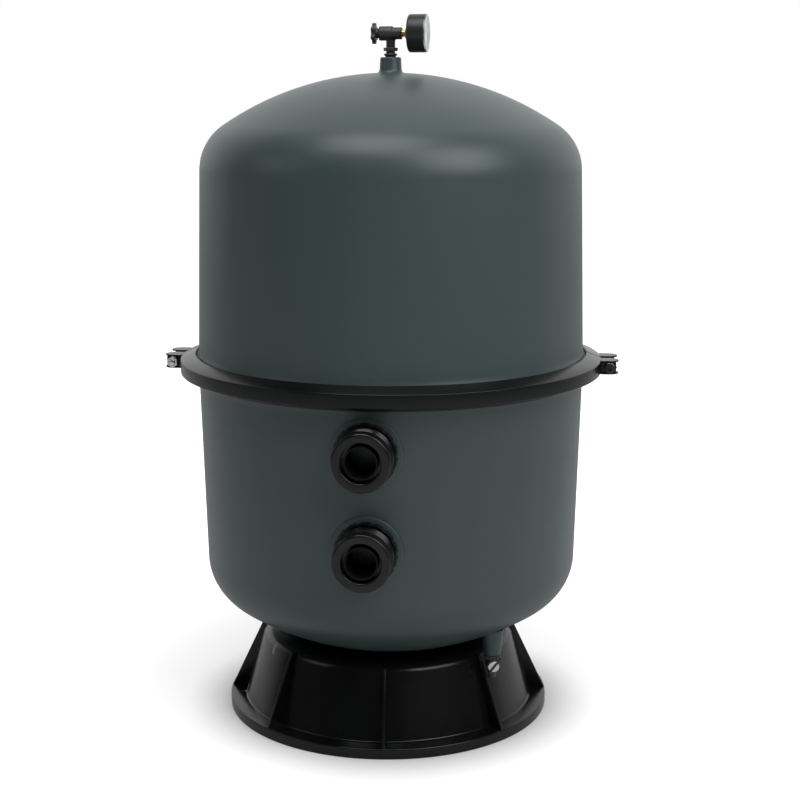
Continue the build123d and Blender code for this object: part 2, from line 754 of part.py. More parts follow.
# Gauge group: everything below follows the tee's axis, which points a little forward of +X
gauge_way = Vector(cos(radians(gauge_turn)), -sin(radians(gauge_turn)), 0)
gauge_origin = Vector(0, 0, gauge_axis)
gauge_plane = Plane(origin=gauge_origin, x_dir=(0, 0, 1), z_dir=gauge_way)
gauge_section = Plane(origin=gauge_origin, x_dir=gauge_way, z_dir=(gauge_way.Y, -gauge_way.X, 0))
gauge_line = Axis(origin=gauge_origin, direction=gauge_way)
stem_foot = tank_top - stem_sink
washer_low = boss_top + tee_seal_height
nut_low = washer_low + tee_washer_height + tee_nut_gap

with BuildPart() as gauge_tee:
    with BuildSketch(gauge_plane.offset(-tee_half)):
        Circle(tee_radius)
    extrude(amount=tee_half + tee_step)
    chamfer(gauge_tee.edges().filter_by(GeomType.CIRCLE), 1.2)
    with BuildSketch(gauge_plane.offset(tee_half)):
        Circle(tee_branch_radius)
    extrude(amount=-tee_half)
    with BuildSketch(Plane.XY.offset(stem_foot)):
        Circle(stem_radius)
    extrude(amount=gauge_axis - stem_foot)
    with BuildSketch(gauge_plane.offset(-tee_half)):
        Circle(bleed_spindle + fit)
    extrude(amount=tee_half + bleed_floor, mode=Mode.SUBTRACT)
    with BuildSketch(gauge_plane.offset(tee_half)):
        Circle(gauge_thread + fit)
    extrude(amount=-gauge_thread_length - fit, mode=Mode.SUBTRACT)
    with BuildSketch(gauge_plane):
        Circle(gauge_channel)
    extrude(amount=tee_half, mode=Mode.SUBTRACT)
    with BuildSketch(Plane.XY.offset(stem_foot)):
        Circle(stem_channel)
    extrude(amount=gauge_axis - stem_foot, mode=Mode.SUBTRACT)
finish(gauge_tee, "gauge_tee")

with BuildPart() as tee_seal:
    with BuildSketch(Plane.XY.offset(boss_top)):
        Circle(tee_seal_radius)
        Circle(stem_radius + fit, mode=Mode.SUBTRACT)
    extrude(amount=tee_seal_height)
finish(tee_seal, "tee_seal")

with BuildPart() as tee_washer:
    with BuildSketch(Plane.XY.offset(washer_low)):
        Circle(tee_washer_radius)
    extrude(amount=tee_washer_height)
    chamfer(tee_washer.edges().filter_by(GeomType.CIRCLE), tee_washer_height * 0.4)
    with BuildSketch(Plane.XY.offset(washer_low)):
        Circle(stem_radius + fit)
    extrude(amount=tee_washer_height, mode=Mode.SUBTRACT)
finish(tee_washer, "tee_washer")

with BuildPart() as tee_lock_nut:
    with BuildSketch(Plane.XY.offset(nut_low)):
        RegularPolygon(tee_nut_flats / 2, 6, major_radius=False)
        Circle(stem_radius + fit, mode=Mode.SUBTRACT)
    extrude(amount=tee_nut_height)
finish(tee_lock_nut, "tee_lock_nut")

# Bleed screw: lobed knob, neck and a spindle with a groove for its seal
knob_back = tee_half + knob_gap + knob_neck
groove_end = bleed_groove - tee_half
with BuildPart() as bleed_screw:
    with BuildSketch(gauge_plane.offset(-knob_back - knob_thickness)):
        Circle(knob_radius - knob_lobe)
        with PolarLocations(knob_radius - knob_lobe, knob_lobes):
            Circle(knob_lobe)
    extrude(amount=knob_thickness)
    chamfer(bleed_screw.edges().group_by(Axis(gauge_origin, gauge_way))[0], 0.6)
    with BuildSketch(gauge_plane.offset(-knob_back)):
        Circle(knob_neck_radius)
    extrude(amount=knob_neck)
    with BuildSketch(gauge_plane.offset(-tee_half - knob_gap)):
        Circle(bleed_spindle)
    extrude(amount=bleed_reach + knob_gap)
    with BuildSketch(gauge_plane.offset(groove_end - bleed_groove_width)):
        Circle(bleed_spindle + bleed_groove_depth)
        Circle(bleed_spindle - bleed_groove_depth, mode=Mode.SUBTRACT)
    extrude(amount=bleed_groove_width, mode=Mode.SUBTRACT)
finish(bleed_screw, "bleed_screw")

with BuildPart() as bleed_seal:
    with BuildSketch(gauge_plane.offset(groove_end - bleed_groove_width + 2 * fit)):
        Circle(bleed_spindle - fit / 5)
        Circle(bleed_spindle - bleed_groove_depth + fit, mode=Mode.SUBTRACT)
    extrude(amount=bleed_groove_width - 4 * fit)
finish(bleed_seal, "bleed_seal")

# Pressure gauge: stem, case, movement, tube, dial, needle and a lens cap over the whole front
back_inside = gauge_start + gauge_wall
bar_top = back_inside + gauge_bar
dial_low = gauge_front - dial_drop
case_bore = gauge_radius - gauge_wall
thread_end = tee_half - gauge_thread_length

with BuildPart() as gauge_stem:
    with BuildSketch(gauge_plane.offset(thread_end)):
        Circle(gauge_thread)
    extrude(amount=gauge_thread_length)
    with BuildSketch(gauge_plane.offset(tee_half)):
        Circle(gauge_neck)
    extrude(amount=gauge_start - tee_half)
    with BuildSketch(gauge_plane.offset(gauge_hex_start)):
        RegularPolygon(gauge_hex, 6, major_radius=False)
    extrude(amount=gauge_start - gauge_hex_start)
    with BuildSketch(gauge_plane.offset(gauge_start)):
        Circle(gauge_thread)
    extrude(amount=gauge_wall)
    with BuildSketch(gauge_plane.offset(back_inside)):
        with Locations((-gauge_bar_drop, 0)):
            Rectangle(gauge_bar_length, gauge_bar_width)
    extrude(amount=gauge_bar)
    with BuildSketch(gauge_plane.offset(thread_end)):
        Circle(gauge_channel)
    extrude(amount=back_inside + gauge_bar / 2 - thread_end, mode=Mode.SUBTRACT)
finish(gauge_stem, "gauge_stem")

with BuildPart() as gauge_case:
    with BuildSketch(gauge_section) as case_section:
        with BuildLine():
            Polyline(
                (gauge_start, gauge_thread + fit),
                (gauge_start, gauge_radius),
                (gauge_front, gauge_radius),
                (gauge_front, case_bore),
                (back_inside, case_bore),
                (back_inside, gauge_thread + fit),
                close=True,
            )
        make_face()
        fillet(case_section.vertices().sort_by_distance((gauge_start, gauge_radius, 0))[0], 2.4)
    revolve(axis=gauge_line)
finish(gauge_case, "gauge_case")

with BuildPart() as gauge_movement:
    with BuildSketch(gauge_plane.offset(bar_top)):
        RectangleRounded(2 * gauge_bar_width, 1.5 * gauge_bar_width, gauge_bar_width / 4)
        Circle(spindle_radius + fit, mode=Mode.SUBTRACT)
    extrude(amount=dial_low - bar_top)
finish(gauge_movement, "gauge_movement")

with BuildPart() as gauge_bourdon_tube:
    with BuildSketch(gauge_plane.offset(bar_top)):
        Circle(tube_outer)
        Circle(tube_inner, mode=Mode.SUBTRACT)
        with BuildLine():
            far = 2 * tube_outer
            Polyline((0, 0), (-far, tube_gap), (-far, far), (tube_outer / 2, far), (0, 0))
        make_face(mode=Mode.SUBTRACT)
    extrude(amount=gauge_bar)
finish(gauge_bourdon_tube, "gauge_bourdon_tube")

with BuildPart() as gauge_dial:
    with BuildSketch(gauge_plane.offset(dial_low)):
        Circle(case_bore - easy_fit)
        Circle(spindle_radius + easy_fit, mode=Mode.SUBTRACT)
    extrude(amount=dial_thickness)
finish(gauge_dial, "gauge_dial")

needle_low = dial_low + dial_thickness + needle_gap
with BuildPart() as gauge_spindle:
    with BuildSketch(gauge_plane.offset(bar_top + easy_fit)):
        Circle(spindle_radius)
    extrude(amount=needle_low + needle_thickness - bar_top)
finish(gauge_spindle, "gauge_spindle")

with BuildPart() as gauge_needle:
    with BuildSketch(gauge_plane.offset(needle_low)):
        with BuildLine():
            Polyline(
                (-needle_tail, -needle_half),
                (-needle_tail, needle_half),
                (needle_waist, needle_neck),
                (needle_tip, 0),
                (needle_waist, -needle_neck),
                close=True,
            )
        make_face()
        Circle(needle_hub)
        Circle(spindle_radius + fit, mode=Mode.SUBTRACT)
    extrude(amount=needle_thickness)
finish(gauge_needle, "gauge_needle")

with BuildPart() as gauge_lens:
    with BuildSketch(gauge_plane.offset(gauge_front)):
        Circle(gauge_radius - easy_fit)
    extrude(amount=lens_thickness)
    fillet(gauge_lens.edges().group_by(Axis(gauge_origin, gauge_way))[-1], lens_edge)
    with BuildSketch(gauge_plane.offset(gauge_front)):
        Circle(case_bore - 2 * fit)
        Circle(case_bore - 2 * fit - gauge_wall, mode=Mode.SUBTRACT)
    extrude(amount=-lens_spigot)
finish(gauge_lens, "gauge_lens")
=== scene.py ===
"""Looks of a sand filter tank: finishes, turned and moulded pieces, studio and camera."""

import logging
import math
from dataclasses import dataclass
from enum import Enum

import bpy
from mathutils import Matrix, Vector

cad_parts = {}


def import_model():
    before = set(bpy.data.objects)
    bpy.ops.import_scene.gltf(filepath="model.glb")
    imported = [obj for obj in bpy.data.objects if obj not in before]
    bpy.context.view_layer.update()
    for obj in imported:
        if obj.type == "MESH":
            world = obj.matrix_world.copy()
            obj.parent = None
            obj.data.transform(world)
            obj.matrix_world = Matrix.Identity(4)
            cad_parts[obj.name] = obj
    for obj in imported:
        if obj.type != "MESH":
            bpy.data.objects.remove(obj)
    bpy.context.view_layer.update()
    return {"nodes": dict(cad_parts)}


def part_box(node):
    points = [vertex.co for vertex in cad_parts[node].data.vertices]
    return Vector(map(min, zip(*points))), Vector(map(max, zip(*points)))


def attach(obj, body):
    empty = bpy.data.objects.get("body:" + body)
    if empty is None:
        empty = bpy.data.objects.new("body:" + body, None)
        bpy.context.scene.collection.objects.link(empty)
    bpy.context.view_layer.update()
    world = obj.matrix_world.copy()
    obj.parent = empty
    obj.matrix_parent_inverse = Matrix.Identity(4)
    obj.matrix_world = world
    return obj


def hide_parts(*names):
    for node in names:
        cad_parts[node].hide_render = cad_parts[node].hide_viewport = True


Point = tuple[float, float, float]
Colour = tuple[float, float, float, float]
Corner = tuple[float, float]
Outline = list[Corner]
Socket = bpy.types.NodeSocket
Tree = bpy.types.NodeTree
MM = 0.001
MERGE = 0.00001
log = logging.getLogger("filter_tank")


class Surface(Enum):
    """Kinds of surface that a finish can have."""

    MOULDED = "moulded"
    SATIN = "satin"
    METAL = "metal"
    CLEAR = "clear"


class Texture:
    """Shared shader node groups, each built once on first use."""

    @staticmethod
    def _new(name: str, inputs: dict[str, float], outputs: list[str]) -> Tree:
        """Start a group with float sockets.

        Args:
            name: The group's name.
            inputs: Input names with their default values.
            outputs: Output names.

        Returns:
            The empty group with its input and output nodes.
        """
        tree = bpy.data.node_groups.new(name, "ShaderNodeTree")
        for label, value in inputs.items():
            socket = tree.interface.new_socket(label, in_out="INPUT", socket_type="NodeSocketFloat")
            socket.default_value = value
        for label in outputs:
            tree.interface.new_socket(label, in_out="OUTPUT", socket_type="NodeSocketFloat")
        tree.nodes.new("NodeGroupInput").name = "in"
        tree.nodes.new("NodeGroupOutput").name = "out"
        return tree

    @staticmethod
    def _math(tree: Tree, operation: str, first: object, second: object) -> Socket:
        """Add a math node.

        Args:
            tree: The tree that the node goes into.
            operation: The node's operation.
            first: A socket or a number.
            second: A socket or a number.

        Returns:
            The node's result socket.
        """
        node = tree.nodes.new("ShaderNodeMath")
        node.operation = operation
        for slot, value in enumerate((first, second)):
            if isinstance(value, (int, float)):
                node.inputs[slot].default_value = value
            else:
                tree.links.new(value, node.inputs[slot])
        return node.outputs[0]

    @staticmethod
    def _noise(tree: Tree, scale: object, detail: float, stretch: Point) -> Socket:
        """Add noise over object coordinates.

        Args:
            tree: The tree that the nodes go into.
            scale: A socket or a number for the noise's scale.
            detail: The noise's detail.
            stretch: Scale of the coordinates along X, Y and Z.

        Returns:
            The noise's factor socket.
        """
        place = tree.nodes.new("ShaderNodeTexCoord")
        mapping = tree.nodes.new("ShaderNodeMapping")
        mapping.inputs["Scale"].default_value = stretch
        noise = tree.nodes.new("ShaderNodeTexNoise")
        noise.inputs["Detail"].default_value = detail
        tree.links.new(place.outputs["Object"], mapping.inputs["Vector"])
        tree.links.new(mapping.outputs[0], noise.inputs["Vector"])
        if isinstance(scale, (int, float)):
            noise.inputs["Scale"].default_value = scale
        else:
            tree.links.new(scale, noise.inputs["Scale"])
        return noise.outputs["Fac"]

    @classmethod
    def grain(cls) -> Tree:
        """Fine moulded grain with a slow ripple under it, as a height."""
        if "moulded_grain" in bpy.data.node_groups:
            return bpy.data.node_groups["moulded_grain"]
        tree = cls._new("moulded_grain", {"Scale": 900.0, "Ripple": 0.3}, ["Height"])
        given = tree.nodes["in"]
        fine = cls._noise(tree, given.outputs["Scale"], 4.0, (1, 1, 1))
        slow = cls._noise(tree, 9.0, 2.0, (1, 1, 0.5))
        rise = cls._math(tree, "MULTIPLY", slow, given.outputs["Ripple"])
        tree.links.new(cls._math(tree, "ADD", fine, rise), tree.nodes["out"].inputs["Height"])
        return tree

    @classmethod
    def mottle(cls) -> Tree:
        """Slow variation of tone from cloudy patches and vertical streaks, as a mask."""
        if "mottle" in bpy.data.node_groups:
            return bpy.data.node_groups["mottle"]
        tree = cls._new("mottle", {"Scale": 6.0, "Streaks": 0.5}, ["Mask"])
        given = tree.nodes["in"]
        clouds = cls._noise(tree, given.outputs["Scale"], 5.0, (1, 1, 1))
        streaks = cls._noise(tree, 14.0, 3.0, (1, 1, 0.08))
        share = cls._math(tree, "MULTIPLY", streaks, given.outputs["Streaks"])
        rest = cls._math(tree, "SUBTRACT", 1.0, given.outputs["Streaks"])
        blend = cls._math(tree, "ADD", cls._math(tree, "MULTIPLY", clouds, rest), share)
        tree.links.new(blend, tree.nodes["out"].inputs["Mask"])
        return tree

    @classmethod
    def scuffs(cls) -> Tree:
        """Thin scratches that run mostly upwards, gathered in patches, as a mask."""
        if "scuffs" in bpy.data.node_groups:
            return bpy.data.node_groups["scuffs"]
        tree = cls._new("scuffs", {"Scale": 60.0, "Amount": 0.3}, ["Mask"])
        given = tree.nodes["in"]
        lines = cls._noise(tree, given.outputs["Scale"], 2.0, (1, 1, 0.04))
        patches = cls._noise(tree, 11.0, 2.0, (1, 1, 0.6))
        cut = cls._math(tree, "SUBTRACT", 0.8, cls._math(tree, "MULTIPLY", given.outputs["Amount"], 0.2))
        thin = cls._math(tree, "GREATER_THAN", lines, cut)
        here = cls._math(tree, "GREATER_THAN", patches, 0.56)
        tree.links.new(cls._math(tree, "MULTIPLY", thin, here), tree.nodes["out"].inputs["Mask"])
        return tree


@dataclass(frozen=True)
class Finish:
    """One finish: two near colours that drift into each other, gloss, grain and wear."""

    name: str
    surface: Surface
    colour: Colour
    drift: Colour
    roughness: tuple[float, float]
    drift_scale: float = 6.0
    streaks: float = 0.5
    grain_scale: float = 900.0
    grain_depth: float = 0.00002
    ripple: float = 0.0
    scuff_amount: float = 0.0
    scuff_colour: Colour = (0.25, 0.26, 0.26, 1.0)
    specular: float = 0.5

    def material(self) -> bpy.types.Material:
        """Build the finish's material, or give the one already built."""
        if self.name in bpy.data.materials:
            return bpy.data.materials[self.name]
        made = bpy.data.materials.new(self.name)
        made.use_nodes = True
        tree = made.node_tree
        shader = tree.nodes["Principled BSDF"]
        shader.inputs["Specular IOR Level"].default_value = self.specular
        mottle = self._group(tree, Texture.mottle(), {"Scale": self.drift_scale, "Streaks": self.streaks})
        spread = tree.nodes.new("ShaderNodeMapRange")
        spread.inputs["From Min"].default_value = 0.35
        spread.inputs["From Max"].default_value = 0.65
        tree.links.new(mottle.outputs["Mask"], spread.inputs["Value"])
        colour = self._mix(tree, spread.outputs[0], self.colour, self.drift)
        gloss = tree.nodes.new("ShaderNodeMapRange")
        gloss.inputs["To Min"].default_value = self.roughness[0]
        gloss.inputs["To Max"].default_value = self.roughness[1]
        tree.links.new(spread.outputs[0], gloss.inputs["Value"])
        rough = gloss.outputs[0]
        if self.scuff_amount > 0:
            scuffs = self._group(tree, Texture.scuffs(), {"Amount": self.scuff_amount})
            colour = self._mix(tree, scuffs.outputs["Mask"], colour, self.scuff_colour)
            worn = tree.nodes.new("ShaderNodeMath")
            worn.operation = "MULTIPLY_ADD"
            worn.inputs[1].default_value = 0.25
            tree.links.new(scuffs.outputs["Mask"], worn.inputs[0])
            tree.links.new(rough, worn.inputs[2])
            rough = worn.outputs[0]
        tree.links.new(colour, shader.inputs["Base Color"])
        tree.links.new(rough, shader.inputs["Roughness"])
        if self.surface is Surface.METAL:
            shader.inputs["Metallic"].default_value = 1.0
        if self.surface is Surface.CLEAR:
            shader.inputs["Transmission Weight"].default_value = 1.0
            shader.inputs["IOR"].default_value = 1.45
        grain = self._group(tree, Texture.grain(), {"Scale": self.grain_scale, "Ripple": self.ripple})
        bump = tree.nodes.new("ShaderNodeBump")
        bump.inputs["Strength"].default_value = 1.0
        bump.inputs["Distance"].default_value = self.grain_depth
        tree.links.new(grain.outputs["Height"], bump.inputs["Height"])
        tree.links.new(bump.outputs[0], shader.inputs["Normal"])
        return made

    @staticmethod
    def _group(tree: Tree, group: Tree, values: dict[str, float]) -> bpy.types.Node:
        """Place a shared group in a material with its own values."""
        node = tree.nodes.new("ShaderNodeGroup")
        node.node_tree = group
        for label, value in values.items():
            node.inputs[label].default_value = value
        return node

    @staticmethod
    def _mix(tree: Tree, mask: Socket, first: object, second: object) -> Socket:
        """Mix two colours, each a socket or a fixed colour, by a mask."""
        node = tree.nodes.new("ShaderNodeMix")
        node.data_type = "RGBA"
        tree.links.new(mask, node.inputs["Factor"])
        for slot, value in ((6, first), (7, second)):
            if isinstance(value, tuple):
                node.inputs[slot].default_value = value
            else:
                tree.links.new(value, node.inputs[slot])
        return node.outputs[2]


SHELL_GREY = Finish("shell_grey", Surface.MOULDED, (0.036, 0.057, 0.059, 1), (0.043, 0.062, 0.062, 1),
                    (0.36, 0.42), drift_scale=4.0, grain_scale=700.0, grain_depth=0.00006, ripple=2.0,
                    specular=0.45)
GLOSS_BLACK = Finish("gloss_black", Surface.MOULDED, (0.0025, 0.003, 0.003, 1), (0.005, 0.0055, 0.005, 1),
                     (0.15, 0.26), ripple=0.6, grain_depth=0.00004, scuff_amount=0.35, specular=0.3)
CLAMP_BLACK = Finish("clamp_black", Surface.MOULDED, (0.003, 0.0035, 0.0035, 1), (0.005, 0.006, 0.006, 1),
                     (0.2, 0.3), ripple=0.3, grain_depth=0.00003, specular=0.22)
SATIN_BLACK = Finish("satin_black", Surface.SATIN, (0.022, 0.023, 0.024, 1), (0.032, 0.033, 0.034, 1),
                     (0.4, 0.5))
SEAL_BLACK = Finish("seal_black", Surface.SATIN, (0.01, 0.01, 0.01, 1), (0.016, 0.016, 0.016, 1), (0.6, 0.75))
CASE_BLACK = Finish("case_black", Surface.MOULDED, (0.012, 0.013, 0.011, 1), (0.02, 0.021, 0.017, 1),
                    (0.34, 0.42), ripple=0.2, grain_depth=0.00001, specular=0.4)
BRIGHT_STEEL = Finish("worn_steel", Surface.METAL, (0.6, 0.6, 0.57, 1), (0.48, 0.48, 0.45, 1), (0.2, 0.34),
                      drift_scale=300.0, grain_scale=2500.0, grain_depth=0.00001)
BLACK_BOLT = Finish("black_bolt", Surface.METAL, (0.035, 0.037, 0.038, 1), (0.06, 0.062, 0.062, 1),
                    (0.35, 0.5), drift_scale=300.0)
BRASS = Finish("warm_brass", Surface.METAL, (0.62, 0.42, 0.16, 1), (0.45, 0.27, 0.09, 1), (0.22, 0.36),
               drift_scale=220.0)
PIPE_GREY = Finish("dark_pipe", Surface.MOULDED, (0.002, 0.0022, 0.0024, 1), (0.003, 0.0033, 0.0035, 1),
                   (0.5, 0.6), specular=0.12)
FILTER_WHITE = Finish("moulded_white", Surface.MOULDED, (0.62, 0.62, 0.58, 1), (0.7, 0.7, 0.67, 1),
                      (0.4, 0.5))
DIAL_WHITE = Finish("printed_dial", Surface.SATIN, (0.72, 0.78, 0.8, 1), (0.78, 0.82, 0.84, 1), (0.3, 0.4))
CLEAR_LENS = Finish("clear_cover", Surface.CLEAR, (0.9, 0.97, 0.97, 1), (0.92, 0.97, 0.97, 1), (0.02, 0.05))

NODE_FINISHES: dict[str, Finish] = {
    "tank_lower": SHELL_GREY,
    "tank_upper": SHELL_GREY,
    "base_skirt": GLOSS_BLACK,
    "clamp_half": CLAMP_BLACK,
    "clamp_bolt": BLACK_BOLT,
    "clamp_nut": BRIGHT_STEEL,
    "clamp_washers": BRIGHT_STEEL,
    "tank_seal": SEAL_BLACK,
    "inlet_port_body": GLOSS_BLACK,
    "outlet_port_body": GLOSS_BLACK,
    "inlet_lock_ring": GLOSS_BLACK,
    "outlet_lock_ring": GLOSS_BLACK,
    "inlet_gasket": SEAL_BLACK,
    "outlet_gasket": SEAL_BLACK,
    "inlet_": PIPE_GREY,
    "outlet_": PIPE_GREY,
    "riser_pipe": PIPE_GREY,
    "down_pipe": PIPE_GREY,
    "diffuser": FILTER_WHITE,
    "lateral": FILTER_WHITE,
    "drain_strainer": FILTER_WHITE,
    "drain_washer": SEAL_BLACK,
    "drain_cock_body": SATIN_BLACK,
    "drain_cock_plug": BRIGHT_STEEL,
    "gauge_tee": SATIN_BLACK,
    "tee_seal": SEAL_BLACK,
    "tee_": SATIN_BLACK,
    "bleed_screw": SATIN_BLACK,
    "bleed_seal": SEAL_BLACK,
    "gauge_stem": BRASS,
    "gauge_movement": BRASS,
    "gauge_bourdon_tube": BRASS,
    "gauge_spindle": BRASS,
    "gauge_dial": DIAL_WHITE,
    "gauge_lens": CLEAR_LENS,
    "gauge_needle": SATIN_BLACK,
    "gauge_": GLOSS_BLACK,
}


def dress_nodes(nodes: dict[str, bpy.types.Object]) -> None:
    """Give every carried-over node its finish.

    Args:
        nodes: The frame's nodes by name.
    """
    for name, node in nodes.items():
        finish = next(f for start, f in NODE_FINISHES.items() if name.startswith(start))
        material = finish.material()
        if not node.material_slots:
            node.data.materials.append(material)
        for slot in node.material_slots:
            slot.material = material
        log.info("dressed %s in %s", name, finish.name)


@dataclass(frozen=True)
class Seat:
    """A place to model at, in millimetres: an origin, an axis and a side direction square to it."""

    origin: Point
    way: Point
    side: Point

    def at(self, side: float, along: float, across: float = 0.0) -> Vector:
        """Give a point in metres.

        Args:
            side: Distance along the side direction.
            along: Distance along the axis.
            across: Distance along the direction square to both.

        Returns:
            The point in the frame's own coordinates.
        """
        axis, first = Vector(self.way).normalized(), Vector(self.side).normalized()
        return (Vector(self.origin) + first * side + axis * along + axis.cross(first) * across) * MM


def arc(centre: Corner, radius: float, start: float, end: float, steps: int = 8) -> Outline:
    """Points of an arc, from a start to an end angle in radians."""
    turns = [start + (end - start) * step / steps for step in range(steps + 1)]
    return [(centre[0] + radius * math.cos(turn), centre[1] + radius * math.sin(turn)) for turn in turns]


def rounded(corners: list[tuple[float, float, float]], steps: int = 4) -> Outline:
    """Round the corners of a closed outline.

    Args:
        corners: The corners' two places and each one's radius, where 0 stays sharp.
        steps: Steps of each rounding.

    Returns:
        The outline's points.
    """
    result: Outline = []
    for index, (first, second, radius) in enumerate(corners):
        here = Vector((first, second))
        if radius <= 0:
            result.append((first, second))
            continue
        back = (Vector(corners[index - 1][:2]) - here).normalized()
        ahead = (Vector(corners[(index + 1) % len(corners)][:2]) - here).normalized()
        half = back.angle(ahead) / 2
        middle = here + (back + ahead).normalized() * radius / math.sin(half)
        foot = here + back * radius / math.tan(half) - middle
        head = here + ahead * radius / math.tan(half) - middle
        start = math.atan2(foot.y, foot.x)
        sweep = (math.atan2(head.y, head.x) - start + math.pi) % (2 * math.pi) - math.pi
        result += arc((middle.x, middle.y), radius, start, start + sweep, steps)
    return result


def polygon(reach: float, count: int = 6) -> Outline:
    """Corners of a regular polygon."""
    turns = [2 * math.pi * corner / count for corner in range(count)]
    return [(reach * math.cos(turn), reach * math.sin(turn)) for turn in turns]


def tube(inner: float, outer: float, start: float, end: float,
         edges: tuple[float, float, float, float]) -> Outline:
    """Section of a tube, from a start to an end along its axis.

    Args:
        inner: Radius of the bore.
        outer: Outer radius.
        start: Place of the first face.
        end: Place of the other face.
        edges: Roundings, from the first face's inner edge outwards and back along the other face.

    Returns:
        The outline's points.
    """
    corners = ((inner, start), (outer, start), (outer, end), (inner, end))
    return rounded([(*corner, edge) for corner, edge in zip(corners, edges)])


def thread(root: float, crest: float, start: float, end: float, pitch: float) -> Outline:
    """Outline of a thread's flanks, from a start to an end along its axis."""
    result: Outline = []
    for turn in range(int((end - start) / pitch)):
        foot = start + turn * pitch
        result += [(root, foot), (root, foot + pitch * 0.25)]
        result += [(crest, foot + pitch * 0.5), (crest, foot + pitch * 0.7)]
    return result + [(root, end)]


class Bench:
    """Modelling steps that the sub-assemblies share. Outlines are in millimetres."""

    @staticmethod
    def chain(name: str, points: list[Vector]) -> bpy.types.Object:
        """Draw a chain of edges by extruding one point from place to place.

        Args:
            name: The new piece's name.
            points: The chain's points in metres.

        Returns:
            The piece, left in edit mode.
        """
        bpy.ops.object.select_all(action="DESELECT")
        bpy.ops.mesh.primitive_plane_add(size=MM)
        piece = bpy.context.active_object
        piece.name = piece.data.name = name
        bpy.ops.object.mode_set(mode="EDIT")
        bpy.ops.mesh.select_mode(type="VERT")
        bpy.ops.mesh.merge(type="CENTER")
        bpy.ops.transform.translate(value=points[0])
        for before, after in zip(points, points[1:]):
            bpy.ops.mesh.extrude_region_move(TRANSFORM_OT_translate={"value": after - before})
        return piece

    @staticmethod
    def close(smooth: float = 35.0) -> None:
        """Merge the piece's doubles, turn its faces outwards and leave edit mode.

        Args:
            smooth: Angle in degrees below which its edges are shaded smooth.
        """
        bpy.ops.mesh.select_all(action="SELECT")
        bpy.ops.mesh.remove_doubles(threshold=MERGE)
        bpy.ops.mesh.delete_loose(use_verts=True, use_edges=True, use_faces=False)
        bpy.ops.mesh.select_all(action="SELECT")
        bpy.ops.mesh.normals_make_consistent(inside=False)
        bpy.ops.object.mode_set(mode="OBJECT")
        bpy.ops.object.shade_smooth_by_angle(angle=math.radians(smooth))

    @classmethod
    def lathe(cls, name: str, outline: Outline, seat: Seat, steps: int = 96, ring: bool = True,
              sweep: float = 360.0) -> bpy.types.Object:
        """Spin an outline about a seat's axis.

        Args:
            name: The new piece's name.
            outline: Points as radius and place along the axis.
            seat: Where it is made.
            steps: Steps of the spin.
            ring: Whether the outline closes on itself, or else starts and ends on the axis.
            sweep: Degrees of the spin, with its ends filled where it isn't a whole turn.

        Returns:
            The finished piece.
        """
        points = [seat.at(radius, along) for radius, along in outline]
        piece = cls.chain(name, points + points[:1] if ring else points)
        bpy.ops.mesh.select_all(action="SELECT")
        bpy.ops.mesh.remove_doubles(threshold=MERGE)
        bpy.ops.mesh.select_all(action="SELECT")
        centre, axis = Vector(seat.origin) * MM, Vector(seat.way).normalized()
        bpy.ops.mesh.spin(steps=steps, angle=-math.radians(sweep), center=centre, axis=axis)
        if sweep < 360.0:
            bpy.ops.mesh.select_all(action="SELECT")
            bpy.ops.mesh.fill_holes(sides=0)
        cls.close()
        return piece

    @classmethod
    def prism(cls, name: str, outline: Outline, seat: Seat, start: float, depth: float, edge: float = 0.0,
              smooth: float = 35.0) -> bpy.types.Object:
        """Extrude an outline along a seat's axis and round its edges.

        Args:
            name: The new piece's name.
            outline: Points as places along the seat's side and across it.
            seat: Where it is made.
            start: Place of the first face along the axis.
            depth: Distance to the other face.
            edge: Width of the edges' rounding, or 0 for sharp ones.
            smooth: Angle in degrees below which edges are shaded smooth and aren't rounded.

        Returns:
            The finished piece.
        """
        points = [seat.at(side, start, across) for side, across in outline]
        piece = cls.chain(name, points + points[:1])
        bpy.ops.mesh.select_all(action="SELECT")
        bpy.ops.mesh.remove_doubles(threshold=MERGE)
        bpy.ops.mesh.select_all(action="SELECT")
        bpy.ops.mesh.edge_face_add()
        way = Vector(seat.way).normalized() * depth * MM
        bpy.ops.mesh.extrude_region_move(TRANSFORM_OT_translate={"value": way})
        cls.close(smooth)
        if edge > 0:
            cls.soften(piece, edge, smooth)
        return piece

    @staticmethod
    def soften(piece: bpy.types.Object, width: float, angle: float = 35.0) -> None:
        """Round a piece's edges.

        Args:
            piece: The piece.
            width: Width of the rounding in millimetres.
            angle: Smallest angle in degrees of an edge that is rounded.
        """
        bpy.ops.object.select_all(action="DESELECT")
        piece.select_set(True)
        bpy.context.view_layer.objects.active = piece
        bevel = piece.modifiers.new("edges", "BEVEL")
        bevel.width = width * MM
        bevel.segments = 3
        bevel.limit_method = "ANGLE"
        bevel.angle_limit = math.radians(angle)
        bpy.ops.object.modifier_apply(modifier=bevel.name)
        bpy.ops.object.shade_smooth_by_angle(angle=math.radians(angle))

    @staticmethod
    def cut(piece: bpy.types.Object, cutter: bpy.types.Object) -> None:
        """Cut one piece out of another and remove the cutter."""
        bpy.ops.object.select_all(action="DESELECT")
        piece.select_set(True)
        bpy.context.view_layer.objects.active = piece
        boolean = piece.modifiers.new("cut", "BOOLEAN")
        boolean.object = cutter
        boolean.operation = "DIFFERENCE"
        boolean.solver = "EXACT"
        bpy.ops.object.modifier_apply(modifier=boolean.name)
        bpy.data.objects.remove(cutter, do_unlink=True)
        bpy.ops.object.shade_smooth_by_angle(angle=math.radians(35))

